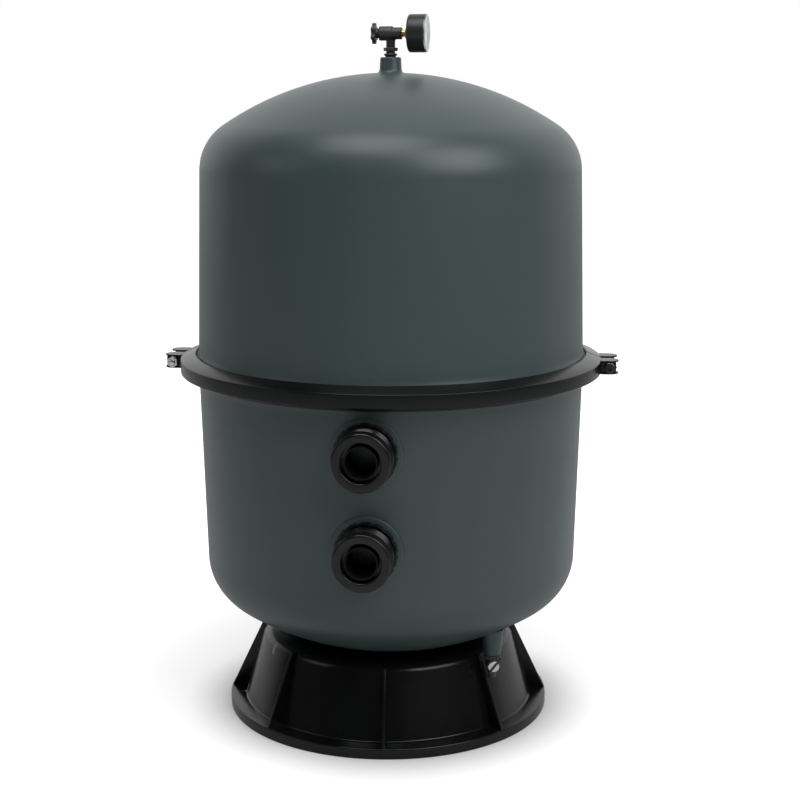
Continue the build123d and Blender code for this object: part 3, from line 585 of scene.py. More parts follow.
    @classmethod
    def bore(cls, piece: bpy.types.Object, seat: Seat, radius: float, start: float, end: float,
             steps: int) -> None:
        """Cut a round hole along a seat's axis.

        Args:
            piece: The piece.
            seat: Where the hole's axis is.
            radius: The hole's radius.
            start: Place where the cut starts.
            end: Place where it ends.
            steps: Steps of the hole's round wall.
        """
        outline = [(0, start), (radius, start), (radius, end), (0, end)]
        cls.cut(piece, cls.lathe("bore", outline, seat, steps, ring=False))

    @staticmethod
    def join(pieces: list[bpy.types.Object]) -> bpy.types.Object:
        """Join pieces into the first of them."""
        bpy.ops.object.select_all(action="DESELECT")
        for piece in pieces:
            piece.select_set(True)
        bpy.context.view_layer.objects.active = pieces[0]
        bpy.ops.object.join()
        return pieces[0]

    @staticmethod
    def seat_in(piece: bpy.types.Object, finish: "Finish", body: str, slot: str, *nodes: str) -> None:
        """Dress a finished piece and say what it rides on.

        Args:
            piece: The piece.
            finish: Its finish.
            body: The body that carries it.
            slot: Not used.
            nodes: The nodes that it stands for.
        """
        piece.data.materials.clear()
        piece.data.materials.append(finish.material())
        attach(piece, body)
        if nodes:
            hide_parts(*nodes)
        log.info("made %s on %s with %d faces", piece.name, body, len(piece.data.polygons))


def middle(node: str) -> Vector:
    """Middle of a node's box in millimetres."""
    low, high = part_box(node)
    return (low + high) / 2 / MM


@dataclass
class TankShells:
    """The domed upper shell and the deeper lower shell, with their bosses and port pads."""

    body_radius: float = 250.0
    wall: float = 6.0
    draft: float = math.radians(1.5)
    upper_straight: float = 247.2
    lower_straight: float = 254.2
    knuckle: float = 69.0
    crown: float = 380.0
    flange_radius: float = 266.0
    flange_edge: float = 7.0
    neck_radius: float = 252.0
    neck_height: float = 12.5
    flare_height: float = 26.0
    boss_radius: float = 14.0
    boss_top_radius: float = 13.25
    stem_bore: float = 5.75
    pad_radius: float = 44.0
    pad_thickness: float = 16.0
    barrel_bore: float = 29.3
    drain_boss_radius: float = 10.5
    drain_boss_height: float = 33.5
    drain_boss_taper: float = math.radians(6.5)
    drain_bore: float = 6.0
    steps: int = 192

    def _offset(self, straight: float) -> tuple[float, float]:
        """Radius of the knuckle's centre and rise of the crown's centre above the joint."""
        centre = self.body_radius - straight * math.tan(self.draft) - self.knuckle / math.cos(self.draft)
        return centre, straight - math.sqrt((self.crown - self.knuckle) ** 2 - centre**2)

    def _curve(self, straight: float, inset: float, pole: float) -> Outline:
        """Knuckle and crown of a skin, from the wall's end to a radius near the pole."""
        centre, rise = self._offset(straight)
        haunch = math.atan2(straight - rise, centre)
        knuckle = arc((centre, straight), self.knuckle - inset, self.draft, haunch, 20)
        large = self.crown - inset
        return knuckle + arc((0.0, rise), large, haunch, math.acos(pole / large), 40)[1:]

    def _outer_wall(self, straight: float) -> Outline:
        """Flange, neck and flare, from the joint up to the knuckle."""
        flare = self.body_radius - self.flare_height * math.tan(self.draft)
        bow = self.body_radius - 0.1
        mid = (self.neck_height + self.flare_height) / 2
        edge = self.flange_radius
        halfway = (self.body_radius - straight / 2 * math.tan(self.draft), straight / 2)
        return [(edge, 0.0), (edge, self.flange_edge - 0.8), (edge - 0.25, self.flange_edge - 0.2),
                (edge - 0.8, self.flange_edge + 0.3), (self.neck_radius + 1.0, self.neck_height - 0.3),
                (self.neck_radius - 0.4, self.neck_height + 0.6), (bow + 0.6, mid - 2.5), (bow, mid),
                (flare, self.flare_height), halfway]

    def build(self) -> None:
        """Make both shells."""
        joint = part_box("tank_upper")[0].z / MM
        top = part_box("tank_upper")[1].z / MM - joint
        upward = Seat((0, 0, joint), (0, 0, 1), (1, 0, 0))
        inner = self.body_radius - self.wall / math.cos(self.draft)
        base = self.boss_radius + 3.2
        crown_at = self._offset(self.upper_straight)[1] + math.sqrt(self.crown**2 - base**2)
        boss = [(base - 1.7, crown_at + 0.8), (self.boss_radius + 0.4, crown_at + 2.4),
                (self.boss_radius, crown_at + 4.5)]
        boss += arc((self.boss_top_radius - 2, top - 2), 2.0, 0.0, math.pi / 2)
        upper = self._outer_wall(self.upper_straight) + self._curve(self.upper_straight, 0.0, base) + boss
        inside = self._curve(self.upper_straight, self.wall, self.stem_bore)[::-1]
        upper += [(self.stem_bore, top), *inside, (inner, 0.0)]
        shell = Bench.lathe("upper_shell", upper, upward, self.steps)
        Bench.seat_in(shell, SHELL_GREY, "tank", "tank_grey", "tank_upper")

        downward = Seat((0, 0, joint), (0, 0, -1), (1, 0, 0))
        lower = self._outer_wall(self.lower_straight) + self._curve(self.lower_straight, 0.0, 0.0)
        lower += self._curve(self.lower_straight, self.wall, 0.0)[::-1]
        lower += [(inner, 0.0), (self.flange_radius, 0.0)]
        bowl = Bench.lathe("lower_shell", lower, downward, self.steps, ring=False)
        bowl = Bench.join([bowl, *self._pads(), self._drain_boss()])
        Bench.seat_in(bowl, SHELL_GREY, "tank", "tank_grey", "tank_lower")

    def _pads(self) -> list[bpy.types.Object]:
        """Flat round pads that the port bodies sit on."""
        front, back = self.body_radius, self.body_radius - self.pad_thickness
        outline = tube(self.barrel_bore, self.pad_radius, back, front, (0, 0, 1.2, 0))
        return [Bench.lathe(f"{port}_pad", outline, port_seat(port)) for port in ("inlet", "outlet")]

    def _drain_boss(self) -> bpy.types.Object:
        """Tapered boss that the drain cock screws into."""
        spot = middle("drain_washer")
        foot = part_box("drain_washer")[1].z / MM
        wide = self.drain_boss_radius + self.drain_boss_height * math.tan(self.drain_boss_taper)
        rise = self.drain_boss_height
        outline = rounded([(self.drain_bore, 0, 0), (self.drain_boss_radius, 0, 0.9), (wide, rise, 0),
                           (self.drain_bore, rise, 0)])
        return Bench.lathe("drain_boss", outline, Seat((spot.x, spot.y, foot), (0, 0, 1), (1, 0, 0)), 48)


def port_seat(port: str) -> Seat:
    """Seat on a port's axis, which faces -Y from the tank's own axis."""
    return Seat((0, 0, middle(f"{port}_lock_ring").z), (0, -1, 0), (1, 0, 0))


@dataclass
class ClampBand:
    """The V clamp's two halves, with round lug plates, bolts, nuts and washers."""

    turn: float = 1.7
    radius: float = 273.4
    band: float = 3.5
    slope: float = math.radians(21.4)
    lip: float = 253.0
    split: float = 2.0
    lug_x: float = 283.2
    lug_y: float = 18.5
    lug_radius: float = 12.0
    lug_plate: float = 2.0
    lug_half: float = 6.8
    lug_wall: tuple[float, float] = (22.0, 29.0)
    lug_side: float = 8.5
    washer: tuple[float, float] = (6.6, 1.6)
    bolt_radius: float = 4.0
    bolt_pitch: float = 1.25
    head: tuple[float, float] = (6.4, 6.4)
    key: tuple[float, float] = (3.4, 3.2)
    nut: tuple[float, float] = (13.0, 6.5)
    bolt_tail: float = 2.0
    bolt_hole: float = 4.3
    nut_bore: float = 4.05
    flange: tuple[float, float] = (266.0, 7.0)
    clearance: float = 0.3

    def __post_init__(self) -> None:
        """Take the clamp's height from the frame."""
        self.height = middle("clamp_half_front").z

    def build(self) -> None:
        """Make the halves and their fasteners."""
        for name, side in (("front", -1), ("rear", 1)):
            pieces = [self._half(name, side)]
            pieces += [lug for end in (-1, 1) for lug in self._lug(name, side, end)]
            Bench.seat_in(Bench.join(pieces), CLAMP_BLACK, f"clamp_{name}", "black_gloss",
                          f"clamp_half_{name}")
            washers = Bench.join([self._washer(name, side, end) for end in (-1, 1)])
            Bench.seat_in(washers, BRIGHT_STEEL, f"clamp_{name}", "bright_steel", f"clamp_washers_{name}")
        self._bolt("left", -1, 1, "clamp_rear", BRIGHT_STEEL, "bright_steel")
        self._bolt("right", 1, -1, "clamp_front", BLACK_BOLT, "black_steel")
        self._nut("left", -1, -1)
        self._nut("right", 1, 1)

    def _ahead(self, turn: float) -> Point:
        """Direction at a turn in degrees from +X, with the clamp's own turn added."""
        angle = math.radians(turn + self.turn)
        return (math.cos(angle), math.sin(angle), 0.0)

    def _seat(self, side: int) -> Seat:
        """Seat whose axis points away from the split on one side, with its side direction up."""
        return Seat((0, 0, self.height), self._ahead(90.0 * side), (0, 0, 1))

    def _half(self, name: str, side: int) -> bpy.types.Object:
        """One half of the band, spun through just under half a turn."""
        lean = math.tan(self.slope)
        rise = self.clearance / math.cos(self.slope)
        inside = self.radius - self.band
        edge, half = self.flange
        band_height = half - (inside - edge) * lean + rise
        lip_height = half + (edge - self.lip) * lean + rise
        outer = band_height - self.band * lean + self.band / math.cos(self.slope)
        over = (self.lip + self.band * math.sin(self.slope), lip_height + self.band * math.cos(self.slope))
        top = [(self.radius, outer, 1.4), (*over, 1.1), (self.lip, lip_height, 0.6),
               (inside, band_height, 0.8)]
        below = [(reach, -height, width) for reach, height, width in reversed(top)]
        section = rounded(top + below, 5)
        gap = math.degrees(self.split / self.radius)
        seat = Seat((0, 0, self.height), (0, 0, 1), self._ahead(gap if side > 0 else 180.0 + gap))
        return Bench.lathe(f"band_{name}", section, seat, 128, sweep=180.0 - 2 * gap)

    def _lug(self, name: str, side: int, end: int) -> list[bpy.types.Object]:
        """Two round plates and the bolted wall between them."""
        inner = self.radius - self.band / 2
        tip = arc((self.lug_x, self.lug_y), self.lug_radius, -math.pi / 2, math.pi / 2, 20)
        plate = [(inner, self.lug_y - self.lug_radius), *tip, (inner, self.lug_y + self.lug_radius)]
        outline = [(end * reach, side * along) for reach, along in plate]
        flat = Seat((0, 0, self.height), (0, 0, 1), self._ahead(0.0))
        pieces = [Bench.prism(f"lug_{name}_{end}_{level}", outline, flat, level, self.lug_plate, 0.5)
                  for level in (self.lug_half, -self.lug_half - self.lug_plate)]
        wall = [(self.lug_half, inner), (self.lug_half, self.lug_x + self.lug_side),
                (-self.lug_half, self.lug_x + self.lug_side), (-self.lug_half, inner)]
        sign = -side * end
        block = [(up, sign * reach) for up, reach in wall]
        start, stop = self.lug_wall
        pieces.append(Bench.prism(f"wall_{name}_{end}", block, self._seat(side), start, stop - start, 0.6))
        return pieces

    def _pin(self, side: int, end: int) -> Seat:
        """Seat on a bolt's axis, pointing away from the split on one side."""
        along = self._ahead(0.0)
        return Seat((along[0] * end * self.lug_x, along[1] * end * self.lug_x, self.height),
                    self._ahead(90.0 * side), (0, 0, 1))

    def _washer(self, name: str, side: int, end: int) -> bpy.types.Object:
        """One plain washer against the lug's wall."""
        start = self.lug_wall[1]
        radius, thickness = self.washer
        outline = tube(self.bolt_hole, radius, start, start + thickness, (0, 0.3, 0.4, 0.2))
        return Bench.lathe(f"washers_{name}", outline, self._pin(side, end), 40)

    def _bolt(self, name: str, end: int, side: int, body: str, finish: "Finish", slot: str) -> None:
        """A cap screw with a six-sided key hole and a threaded shank."""
        face = self.lug_wall[1] + self.washer[1]
        reach, rise = self.head
        tail = -face - self.nut[1] - self.bolt_tail
        shank = thread(self.bolt_radius - 0.5, self.bolt_radius, tail + 0.6, tail + 22.0, self.bolt_pitch)
        outline = [(0.0, tail - 0.2), (1.6, tail - 0.1), (2.9, tail + 0.2)] + shank
        outline += [(self.bolt_radius, tail + 22.4), (self.bolt_radius, face), (reach, face)]
        outline += arc((reach - 0.9, face + rise - 0.9), 0.9, 0.0, math.pi / 2, 4) + [(0.0, face + rise)]
        seat = self._pin(side, end)
        bolt = Bench.lathe(f"bolt_{name}", outline, seat, 40, ring=False)
        key, depth = self.key
        Bench.cut(bolt, Bench.prism("key_hole", polygon(key), seat, face + rise - depth, depth + 1.0))
        Bench.seat_in(bolt, finish, body, slot, f"clamp_bolt_{name}")

    def _nut(self, name: str, end: int, side: int) -> None:
        """A plain six-sided nut with softened corners."""
        face = self.lug_wall[1] + self.washer[1]
        width, thickness = self.nut
        seat = self._pin(side, end)
        nut = Bench.prism(f"nut_{name}", polygon(width / math.sqrt(3)), seat, face, thickness, 0.7)
        Bench.bore(nut, seat, self.nut_bore, face - 1, face + thickness + 1, 40)
        Bench.seat_in(nut, BRIGHT_STEEL, f"nut_{name}", "bright_steel", f"clamp_nut_{name}")


@dataclass
class Port:
    """One threaded port: body, notched lock ring and the end of its pipe."""

    name: str
    pad_face: float = 250.0
    spigot_radius: float = 35.25
    spigot_root: float = 33.5
    pitch: float = 6.2
    front: float = 296.0
    nose: float = 3.0
    collar: float = 6.2
    mouth_radius: float = 24.0
    mouth_depth: float = 14.0
    barrel_radius: float = 29.0
    barrel_end: float = 217.0
    ring: tuple[float, float] = (38.25, 8.0)
    notches: int = 14
    notch: tuple[float, float] = (6.0, 1.3)
    pipe: tuple[float, float] = (20.0, 18.0)
    pipe_run: tuple[float, float] = (45.0, 295.0)
    steps: int = 128

    def build(self) -> None:
        """Make the port's pieces."""
        seat = port_seat(self.name)
        floor = self.front - self.mouth_depth
        bore = self.pipe[0] + 0.05
        outline = [(bore, self.barrel_end), (self.barrel_radius, self.barrel_end),
                   (self.barrel_radius, self.pad_face), (self.spigot_root, self.pad_face)]
        outline += thread(self.spigot_root, self.spigot_radius, self.pad_face + self.ring[1] + 1,
                          self.front - self.collar - 1.8, self.pitch)
        outline += [(self.spigot_root, self.front - self.collar - 1),
                    (self.spigot_radius, self.front - self.collar)]
        outline += arc((self.spigot_radius - self.nose, self.front - self.nose), self.nose, 0.0, math.pi / 2)
        outline += [(self.mouth_radius + 3.2, self.front - 0.4)]
        outline += arc((self.mouth_radius + 1.6, self.front - 2.0), 1.6, math.pi / 2, math.pi, 6)
        outline += [(self.mouth_radius, floor), (bore, floor)]
        body = Bench.lathe(f"{self.name}_port", outline, seat, self.steps)
        Bench.seat_in(body, GLOSS_BLACK, "tank", "black_gloss", f"{self.name}_port_body")
        self._lock_ring(seat)
        outer, inner = self.pipe
        section = tube(inner, outer, *self.pipe_run, (0, 0, 0.5, 0.5))
        pipe = Bench.lathe(f"{self.name}_pipe_end", section, seat)
        Bench.seat_in(pipe, PIPE_GREY, "tank", "pipe_grey", f"{self.name}_stub_pipe")

    def _lock_ring(self, seat: Seat) -> None:
        """The ring's notched rim, with its bore cut out."""
        radius, thickness = self.ring
        half = math.asin(self.notch[0] / 2 / radius)
        outline: Outline = []
        for index in range(self.notches):
            turn = 2 * math.pi * index / self.notches
            low = radius - self.notch[1]
            outline += arc((0, 0), low, turn - half * 0.85, turn + half * 0.85, 3)
            outline += arc((0, 0), radius, turn + half, turn + 2 * math.pi / self.notches - half, 6)
        ring = Bench.prism(f"{self.name}_ring", outline, seat, self.pad_face, thickness, 0.5, 30.0)
        start, end = self.pad_face - 1, self.pad_face + thickness + 1
        Bench.bore(ring, seat, self.spigot_radius + 0.1, start, end, self.steps)
        Bench.seat_in(ring, GLOSS_BLACK, "tank", "black_gloss", f"{self.name}_lock_ring")


@dataclass
class BaseSkirt:
    """Conical skirt with a rounded shoulder, a foot ledge and eight outer ribs."""

    shift: float = -4.4
    foot_width: float = 20.9
    foot_height: float = 13.6
    slope: float = 0.3
    wall: float = 4.0
    seat_radius: float = 118.0
    shoulder: float = 13.0
    rib_count: int = 8
    rib_turn: float = 5.3
    rib_thickness: float = 3.6
    rib_foot: float = 1.0
    rib_head: float = 5.3
    rib_root: float = 2.0
    seat_dip: float = 3.2

    def build(self) -> None:
        """Make the skirt and its ribs as one piece."""
        low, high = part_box("base_skirt")
        foot = (high.x - low.x) / 2 / MM
        top = high.z / MM
        side = foot - self.foot_width
        head = side - self.slope * (top - self.foot_height)
        inner = self.seat_radius - 2 * self.wall
        ledge = self.foot_height
        outline = rounded([
            (foot, 0, 0.9), (foot, ledge, 1.8), (side, ledge, 3.0), (head, top, self.shoulder),
            (inner, top, 0.8),
            (inner, top - 2.5 * self.wall, 0.5), (self.seat_radius, top - 2.5 * self.wall, 0),
            (self.seat_radius + self.wall, top - self.wall, 1.0), (head - self.wall, top - self.wall, 3.0),
            (side - self.wall, ledge - self.wall, 2.0), (foot - self.wall, ledge - self.wall, 0.8),
            (foot - self.wall, 0, 0.6)], 6)
        outline = [self._dipped(point, (inner, head), top) for point in outline]
        upright = Seat((self.shift, 0, 0), (0, 0, 1), (1, 0, 0))
        skirt = Bench.lathe("skirt", outline, upright, 160)
        tip, sunk, crest = foot - self.rib_foot, ledge - 1.5, top - self.rib_root
        rib = [(tip, sunk), (tip, ledge), (head + self.rib_head, crest), (head - self.rib_root, crest),
               (side - self.rib_root, sunk)]
        ribs = []
        for index in range(self.rib_count):
            turn = math.radians(self.rib_turn + index * 360 / self.rib_count)
            outward = Vector((math.sin(turn), -math.cos(turn), 0))
            seat = Seat((self.shift, 0, 0), (outward.y, -outward.x, 0), tuple(outward))
            flip = 1 if seat.at(0, 0, 1).z > 0 else -1
            ribs.append(Bench.prism(f"rib_{index}", [(reach, flip * up) for reach, up in rib], seat,
                                    -self.rib_thickness / 2, self.rib_thickness, 0.7))
        Bench.seat_in(Bench.join([skirt, *ribs]), GLOSS_BLACK, "tank", "black_gloss", "base_skirt")

    def _dipped(self, point: Corner, span: tuple[float, float], top: float) -> Corner:
        """Lower a point of the skirt's top where the bowl sits, more towards the bore.

        Args:
            point: A point of the section.
            span: Radii of the top's inner and outer edges.
            top: The top's height.

        Returns:
            The point, lowered only on the top within the seat.
        """
        reach, height = point
        if reach > self.seat_radius + self.wall or height < top:
            return point
        inner, outer = span
        return reach, height - self.seat_dip * (1 - (reach - inner) / (outer - inner))


@dataclass
class Drain:
    """Drain cock under the lower shell: washer, cock body, turning plug and its lever."""

    cock_drop: float = 13.4
    turn: float = math.radians(12.0)
    washer: tuple[float, float] = (6.05, 10.3)
    collar: tuple[float, float] = (10.8, 4.5)
    notches: int = 12
    notch: float = 2.2
    tail: tuple[float, float] = (5.95, 9.0)
    neck: float = 7.0
    neck_end: float = -8.6
    spout: float = 5.0
    spout_end: float = -17.6
    channel: float = 2.5
    barrel: float = 8.0
    barrel_run: tuple[float, float] = (-8.0, 11.0)
    plug: float = 5.0
    fit: float = 0.05
    disc: tuple[float, float, float] = (7.1, 11.1, 13.3)
    lever_turn: float = math.radians(52.0)
    lever: tuple[float, float, float] = (3.0, 26.0, 2.0)
    lever_rise: float = 2.9

    def build(self) -> None:
        """Make the washer, the cock body, the plug and the lever."""
        spot = middle("drain_washer")
        low, high = (corner.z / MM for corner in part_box("drain_washer"))
        upright = Seat((spot.x, spot.y, high - self.cock_drop), (0, 0, 1), (1, 0, 0))
        way = (math.sin(self.turn), -math.cos(self.turn), 0.0)
        facing = Seat(upright.origin, way, (-way[1], way[0], 0.0))
        foot, top = low - upright.origin[2], high - upright.origin[2]
        inner, outer = self.washer
        ring = Bench.lathe("drain_ring", tube(inner, outer, foot, top, (0, 0.4, 0.4, 0)), upright, 48)
        Bench.seat_in(ring, SEAL_BLACK, "tank", "seal_rubber", "drain_washer")
        body = Bench.join(self._body(upright, facing, foot, top))
        Bench.seat_in(body, SATIN_BLACK, "tank", "black_satin", "drain_cock_body")
        self._plug(upright, facing)

    def _body(self, upright: Seat, facing: Seat, foot: float, top: float) -> list[bpy.types.Object]:
        """Notched collar, threaded tail, neck, spout and the barrel across them.

        Args:
            upright: Seat on the cock's upright axis.
            facing: Seat on the plug's axis.
            foot: Height of the washer's lower face above the plug's axis.
            top: Height of its upper face.

        Returns:
            The body's parts.
        """
        reach, thickness = self.collar
        half = math.asin(self.notch / 2 / reach)
        outline: Outline = []
        for index in range(self.notches):
            turn = 2 * math.pi * index / self.notches
            outline += arc((0, 0), reach - 0.9, turn - half * 0.8, turn + half * 0.8, 2)
            outline += arc((0, 0), reach, turn + half, turn + 2 * math.pi / self.notches - half, 4)
        collar = Bench.prism("cock_collar", outline, upright, foot - thickness, thickness, 0.5, 30.0)
        Bench.bore(collar, upright, self.channel, foot - thickness - 1, foot + 1, 32)
        stem, rise = self.tail
        end = top + rise
        flank = thread(stem - 0.5, stem, foot, end, 1.2)
        tail = Bench.lathe("cock_tail", [(self.channel, foot), *flank, (self.channel, end)], upright, 48)
        wall = self.plug + 0.5
        neck = rounded([(self.channel, wall, 0), (wall, wall, 0), (self.neck, self.neck, 0.4),
                        (self.neck, foot - 3, 0), (self.channel, foot - 3, 0)])
        lower = rounded([(self.channel, -wall, 0), (wall, -wall, 0), (self.neck, -self.neck, 0.3),
                         (self.neck, self.neck_end, 0.8), (self.spout, self.neck_end, 0.6),
                         (self.spout, self.spout_end, 0.7), (self.channel, self.spout_end, 0.4)])
        barrel = tube(self.plug + self.fit, self.barrel, *self.barrel_run, (0.2, 0.9, 0.9, 0.2))
        return [collar, tail, Bench.lathe("cock_neck", neck, upright, 48),
                Bench.lathe("cock_spout", lower, upright, 48), Bench.lathe("cock_barrel", barrel, facing, 48)]

    def _plug(self, upright: Seat, facing: Seat) -> None:
        """Turning plug with its round end, and the lever across it, whose black finish is partly painted
        shade.
        """
        radius, back, front = self.disc
        rear = self.barrel_run[0]
        outline = [(0, rear), (self.plug - 0.5, rear), (self.plug, rear + 0.5), (self.plug, back),
                   (radius, back)]
        outline += arc((radius - 0.6, front - 0.6), 0.6, 0.0, math.pi / 2, 4) + [(0, front)]
        plug = Bench.lathe("plug", outline, facing, 64, ring=False)
        Bench.bore(plug, upright, self.channel, -self.barrel, self.barrel, 32)
        Bench.seat_in(plug, BRIGHT_STEEL, "drain_plug", "bright_steel", "drain_cock_plug")
        offset, length, width = self.lever
        straight = length / 2 - width / 2
        ends = arc((offset + straight, 0), width / 2, -math.pi / 2, math.pi / 2, 8)
        ends += arc((offset - straight, 0), width / 2, math.pi / 2, math.pi * 1.5, 8)
        cos, sin = math.cos(self.lever_turn), math.sin(self.lever_turn)
        turned = [(side * cos - across * sin, side * sin + across * cos) for side, across in ends]
        lever = Bench.prism("plug_lever", turned, facing, front - 0.3, self.lever_rise, 0.4)
        # The lever is real geometry, but its satin black finish is partly painted shade: it stands in for the
        # grip's shaded side, which reads as a dark band across the bright disc.
        Bench.seat_in(lever, SATIN_BLACK, "drain_plug", "black_satin")


@dataclass
class GaugeGroup:
    """Tee, bleed knob, brass stem and the pressure gauge with its dial, needle and lens."""

    turn: float = math.radians(4.15)
    case_radius: float = 23.5
    case_start: float = 23.2
    case_front: float = 45.5
    case_wall: float = 1.5
    lens: float = 1.4
    dial_low: float = 40.0
    dial_thickness: float = 0.8
    dial_radius: float = 21.7
    dial_sweep: float = 270.0
    ticks: int = 20
    numbers: int = 5
    number_radius: float = 13.4
    number_size: float = 4.2
    tee_radius: float = 8.9
    branch_radius: float = 7.4
    tee_half: float = 14.5
    tee_step: float = 2.5
    stem_radius: float = 5.65
    hex_start: float = 19.0
    hex_half: float = 5.8
    neck: float = 4.2
    lock_nut: tuple[float, float] = (16.0, 5.7)
    knob_radius: float = 12.9
    knob_lobe: float = 3.2
    knob_lobes: int = 6
    knob_back: float = 18.5
    knob_thickness: float = 5.0

    def __post_init__(self) -> None:
        """Take the group's axis from the frame."""
        self.axis = middle("gauge_case").z
        self.seat = Seat((0, 0, self.axis), (math.cos(self.turn), -math.sin(self.turn), 0.0), (0, 0, 1))

    def build(self) -> None:
        """Make the group's pieces from the bleed knob to the lens."""
        self._case()
        self._dial()
        self._needle()
        self._stem()
        self._tee()
        self._collars()
        self._knob()

    def _case(self) -> None:
        """Black case and the lens over its whole front."""
        radius, start, front = self.case_radius, self.case_start, self.case_front
        inside, back = radius - self.case_wall, start + self.case_wall
        outline = rounded([(5.05, start, 0), (radius, start, 2.6), (radius, front, 0.4), (inside, front, 0.2),
                           (inside, back, 0.4), (5.05, back, 0)], 6)
        case = Bench.lathe("case", outline, self.seat)
        Bench.seat_in(case, CASE_BLACK, "tank", "black_gloss", "gauge_case")
        rim = radius - 0.3
        glass = [(0.0, front + self.lens), (rim - 3.0, front + self.lens - 0.05)]
        glass += arc((rim - 1.1, front + self.lens - 1.1), 1.1, math.pi / 2, 0.0)
        glass += [(rim, front), (inside - 0.1, front), (inside - 0.1, front - 1.5),
                  (inside - 1.6, front - 1.5), (inside - 1.6, front), (0.0, front)]
        lens = Bench.lathe("lens", glass, self.seat, ring=False)
        Bench.seat_in(lens, CLEAR_LENS, "tank", "clear_lens", "gauge_lens")

    def _dial(self) -> None:
        """White dial with its scale: ticks and plain numbers."""
        face = self.dial_low + self.dial_thickness
        disc = tube(1.3, self.dial_radius, self.dial_low, face, (0, 0, 0.2, 0))
        Bench.seat_in(Bench.lathe("dial", disc, self.seat), DIAL_WHITE, "tank", "dial_white", "gauge_dial")
        marks = []
        for tick in range(self.ticks + 1):
            outward = self._outward(self.dial_sweep * (tick / self.ticks - 0.5))
            long = tick % (self.ticks // (self.numbers - 1)) == 0
            half, inner = (0.35, 16.6) if long else (0.2, 18.2)
            bar = [(inner, -half), (19.8, -half), (19.8, half), (inner, half)]
            seat = Seat(self.seat.origin, self.seat.way, tuple(outward))
            marks.append(Bench.prism(f"tick_{tick}", bar, seat, face - 0.05, 0.12))
            if long:
                value = str(tick * (self.numbers - 1) // self.ticks)
                marks.append(self._number(value, outward * self.number_radius, self._outward(90.0), face))
        Bench.seat_in(Bench.join(marks), SATIN_BLACK, "tank", "black_satin")

    def _outward(self, turn: float) -> Vector:
        """Direction on the dial's face, in degrees clockwise from the top as its reader sees it."""
        up = Vector((0, 0, 1))
        right = up.cross(Vector(self.seat.way))
        return up * math.cos(math.radians(turn)) + right * math.sin(math.radians(turn))

    def _number(self, text: str, place: Vector, right: Vector, face: float) -> bpy.types.Object:
        """One upright number of the scale, as a thin raised mesh."""
        bpy.ops.object.select_all(action="DESELECT")
        bpy.ops.object.text_add()
        label = bpy.context.active_object
        label.name = f"number_{text}"
        label.data.body = text
        label.data.align_x, label.data.align_y = "CENTER", "CENTER"
        label.data.size = self.number_size * MM
        label.data.extrude = 0.05 * MM
        bpy.ops.object.convert(target="MESH")
        way = Vector(self.seat.way)
        spot = self.seat.at(0, face + 0.02) + place * MM
        columns = (right, Vector((0, 0, 1)), way, spot)
        rows = [[column[row] for column in columns] for row in range(3)]
        label.matrix_world = Matrix([*rows, [0, 0, 0, 1]])
        bpy.ops.object.transform_apply(location=True, rotation=True, scale=True)
        return label

    def _needle(self) -> None:
        """Pointer with a counterweight and a round hub."""
        face = self.dial_low + self.dial_thickness + 1.2
        edge = [(-6, -1.2), (-2, -0.8), (10, -0.65), (16.5, -0.1)]
        blade = edge + [(reach, -half) for reach, half in reversed(edge)]
        zero = Seat(self.seat.origin, self.seat.way, tuple(self._outward(-self.dial_sweep / 2)))
        pointer = Bench.prism("pointer", blade, zero, face, 0.7, 0.1)
        hub = rounded([(0, face, 0), (2.6, face, 0), (2.6, face + 0.8, 0.35), (0, face + 0.8, 0)])
        boss = Bench.lathe("pointer_hub", hub, self.seat, 32, ring=False)
        Bench.seat_in(Bench.join([pointer, boss]), SATIN_BLACK, "needle", "black_satin", "gauge_needle")

    def _stem(self) -> None:
        """Brass neck with its hexagon."""
        end = self.case_start + self.case_wall
        outline = rounded([(1.5, 6.1, 0), (5.0, 6.1, 0.5), (5.0, self.tee_half, 0.3),
                           (self.neck, self.tee_half + 0.4, 0.2), (self.neck, end, 0), (1.5, end, 0)])
        neck = Bench.lathe("stem", outline, self.seat, 48)
        corners = polygon(self.hex_half * 2 / math.sqrt(3))
        width = self.case_start - self.hex_start
        nut = Bench.prism("stem_hex", corners, self.seat, self.hex_start, width, 0.6)
        Bench.seat_in(Bench.join([neck, nut]), BRASS, "tank", "brass", "gauge_stem")

    def _tee(self) -> None:
        """Tee body: a run with a step to its branch, and the stem that screws into the boss."""
        half, step = self.tee_half, self.tee_step
        outline = rounded([(4.0, -half, 0.4), (self.tee_radius, -half, 1.4), (self.tee_radius, step, 1.0),
                           (self.branch_radius, step + 0.6, 0.4), (self.branch_radius, half, 0.9),
                           (5.05, half, 0.4), (5.05, 6.05, 0), (4.0, 6.05, 0)], 5)
        run = Bench.lathe("tee", outline, self.seat, 64)
        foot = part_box("gauge_tee")[0].z / MM
        top = self.axis - self.tee_radius + 1.5
        stem = rounded([(2.5, foot, 0), (self.stem_radius, foot, 0.5), (self.stem_radius, top - 2.0, 0),
                        (self.stem_radius + 1.2, top, 0), (2.5, top, 0)])
        upright = Bench.lathe("tee_stem", stem, Seat((0, 0, 0), (0, 0, 1), (1, 0, 0)), 48)
        Bench.seat_in(Bench.join([run, upright]), SATIN_BLACK, "tank", "black_satin", "gauge_tee")

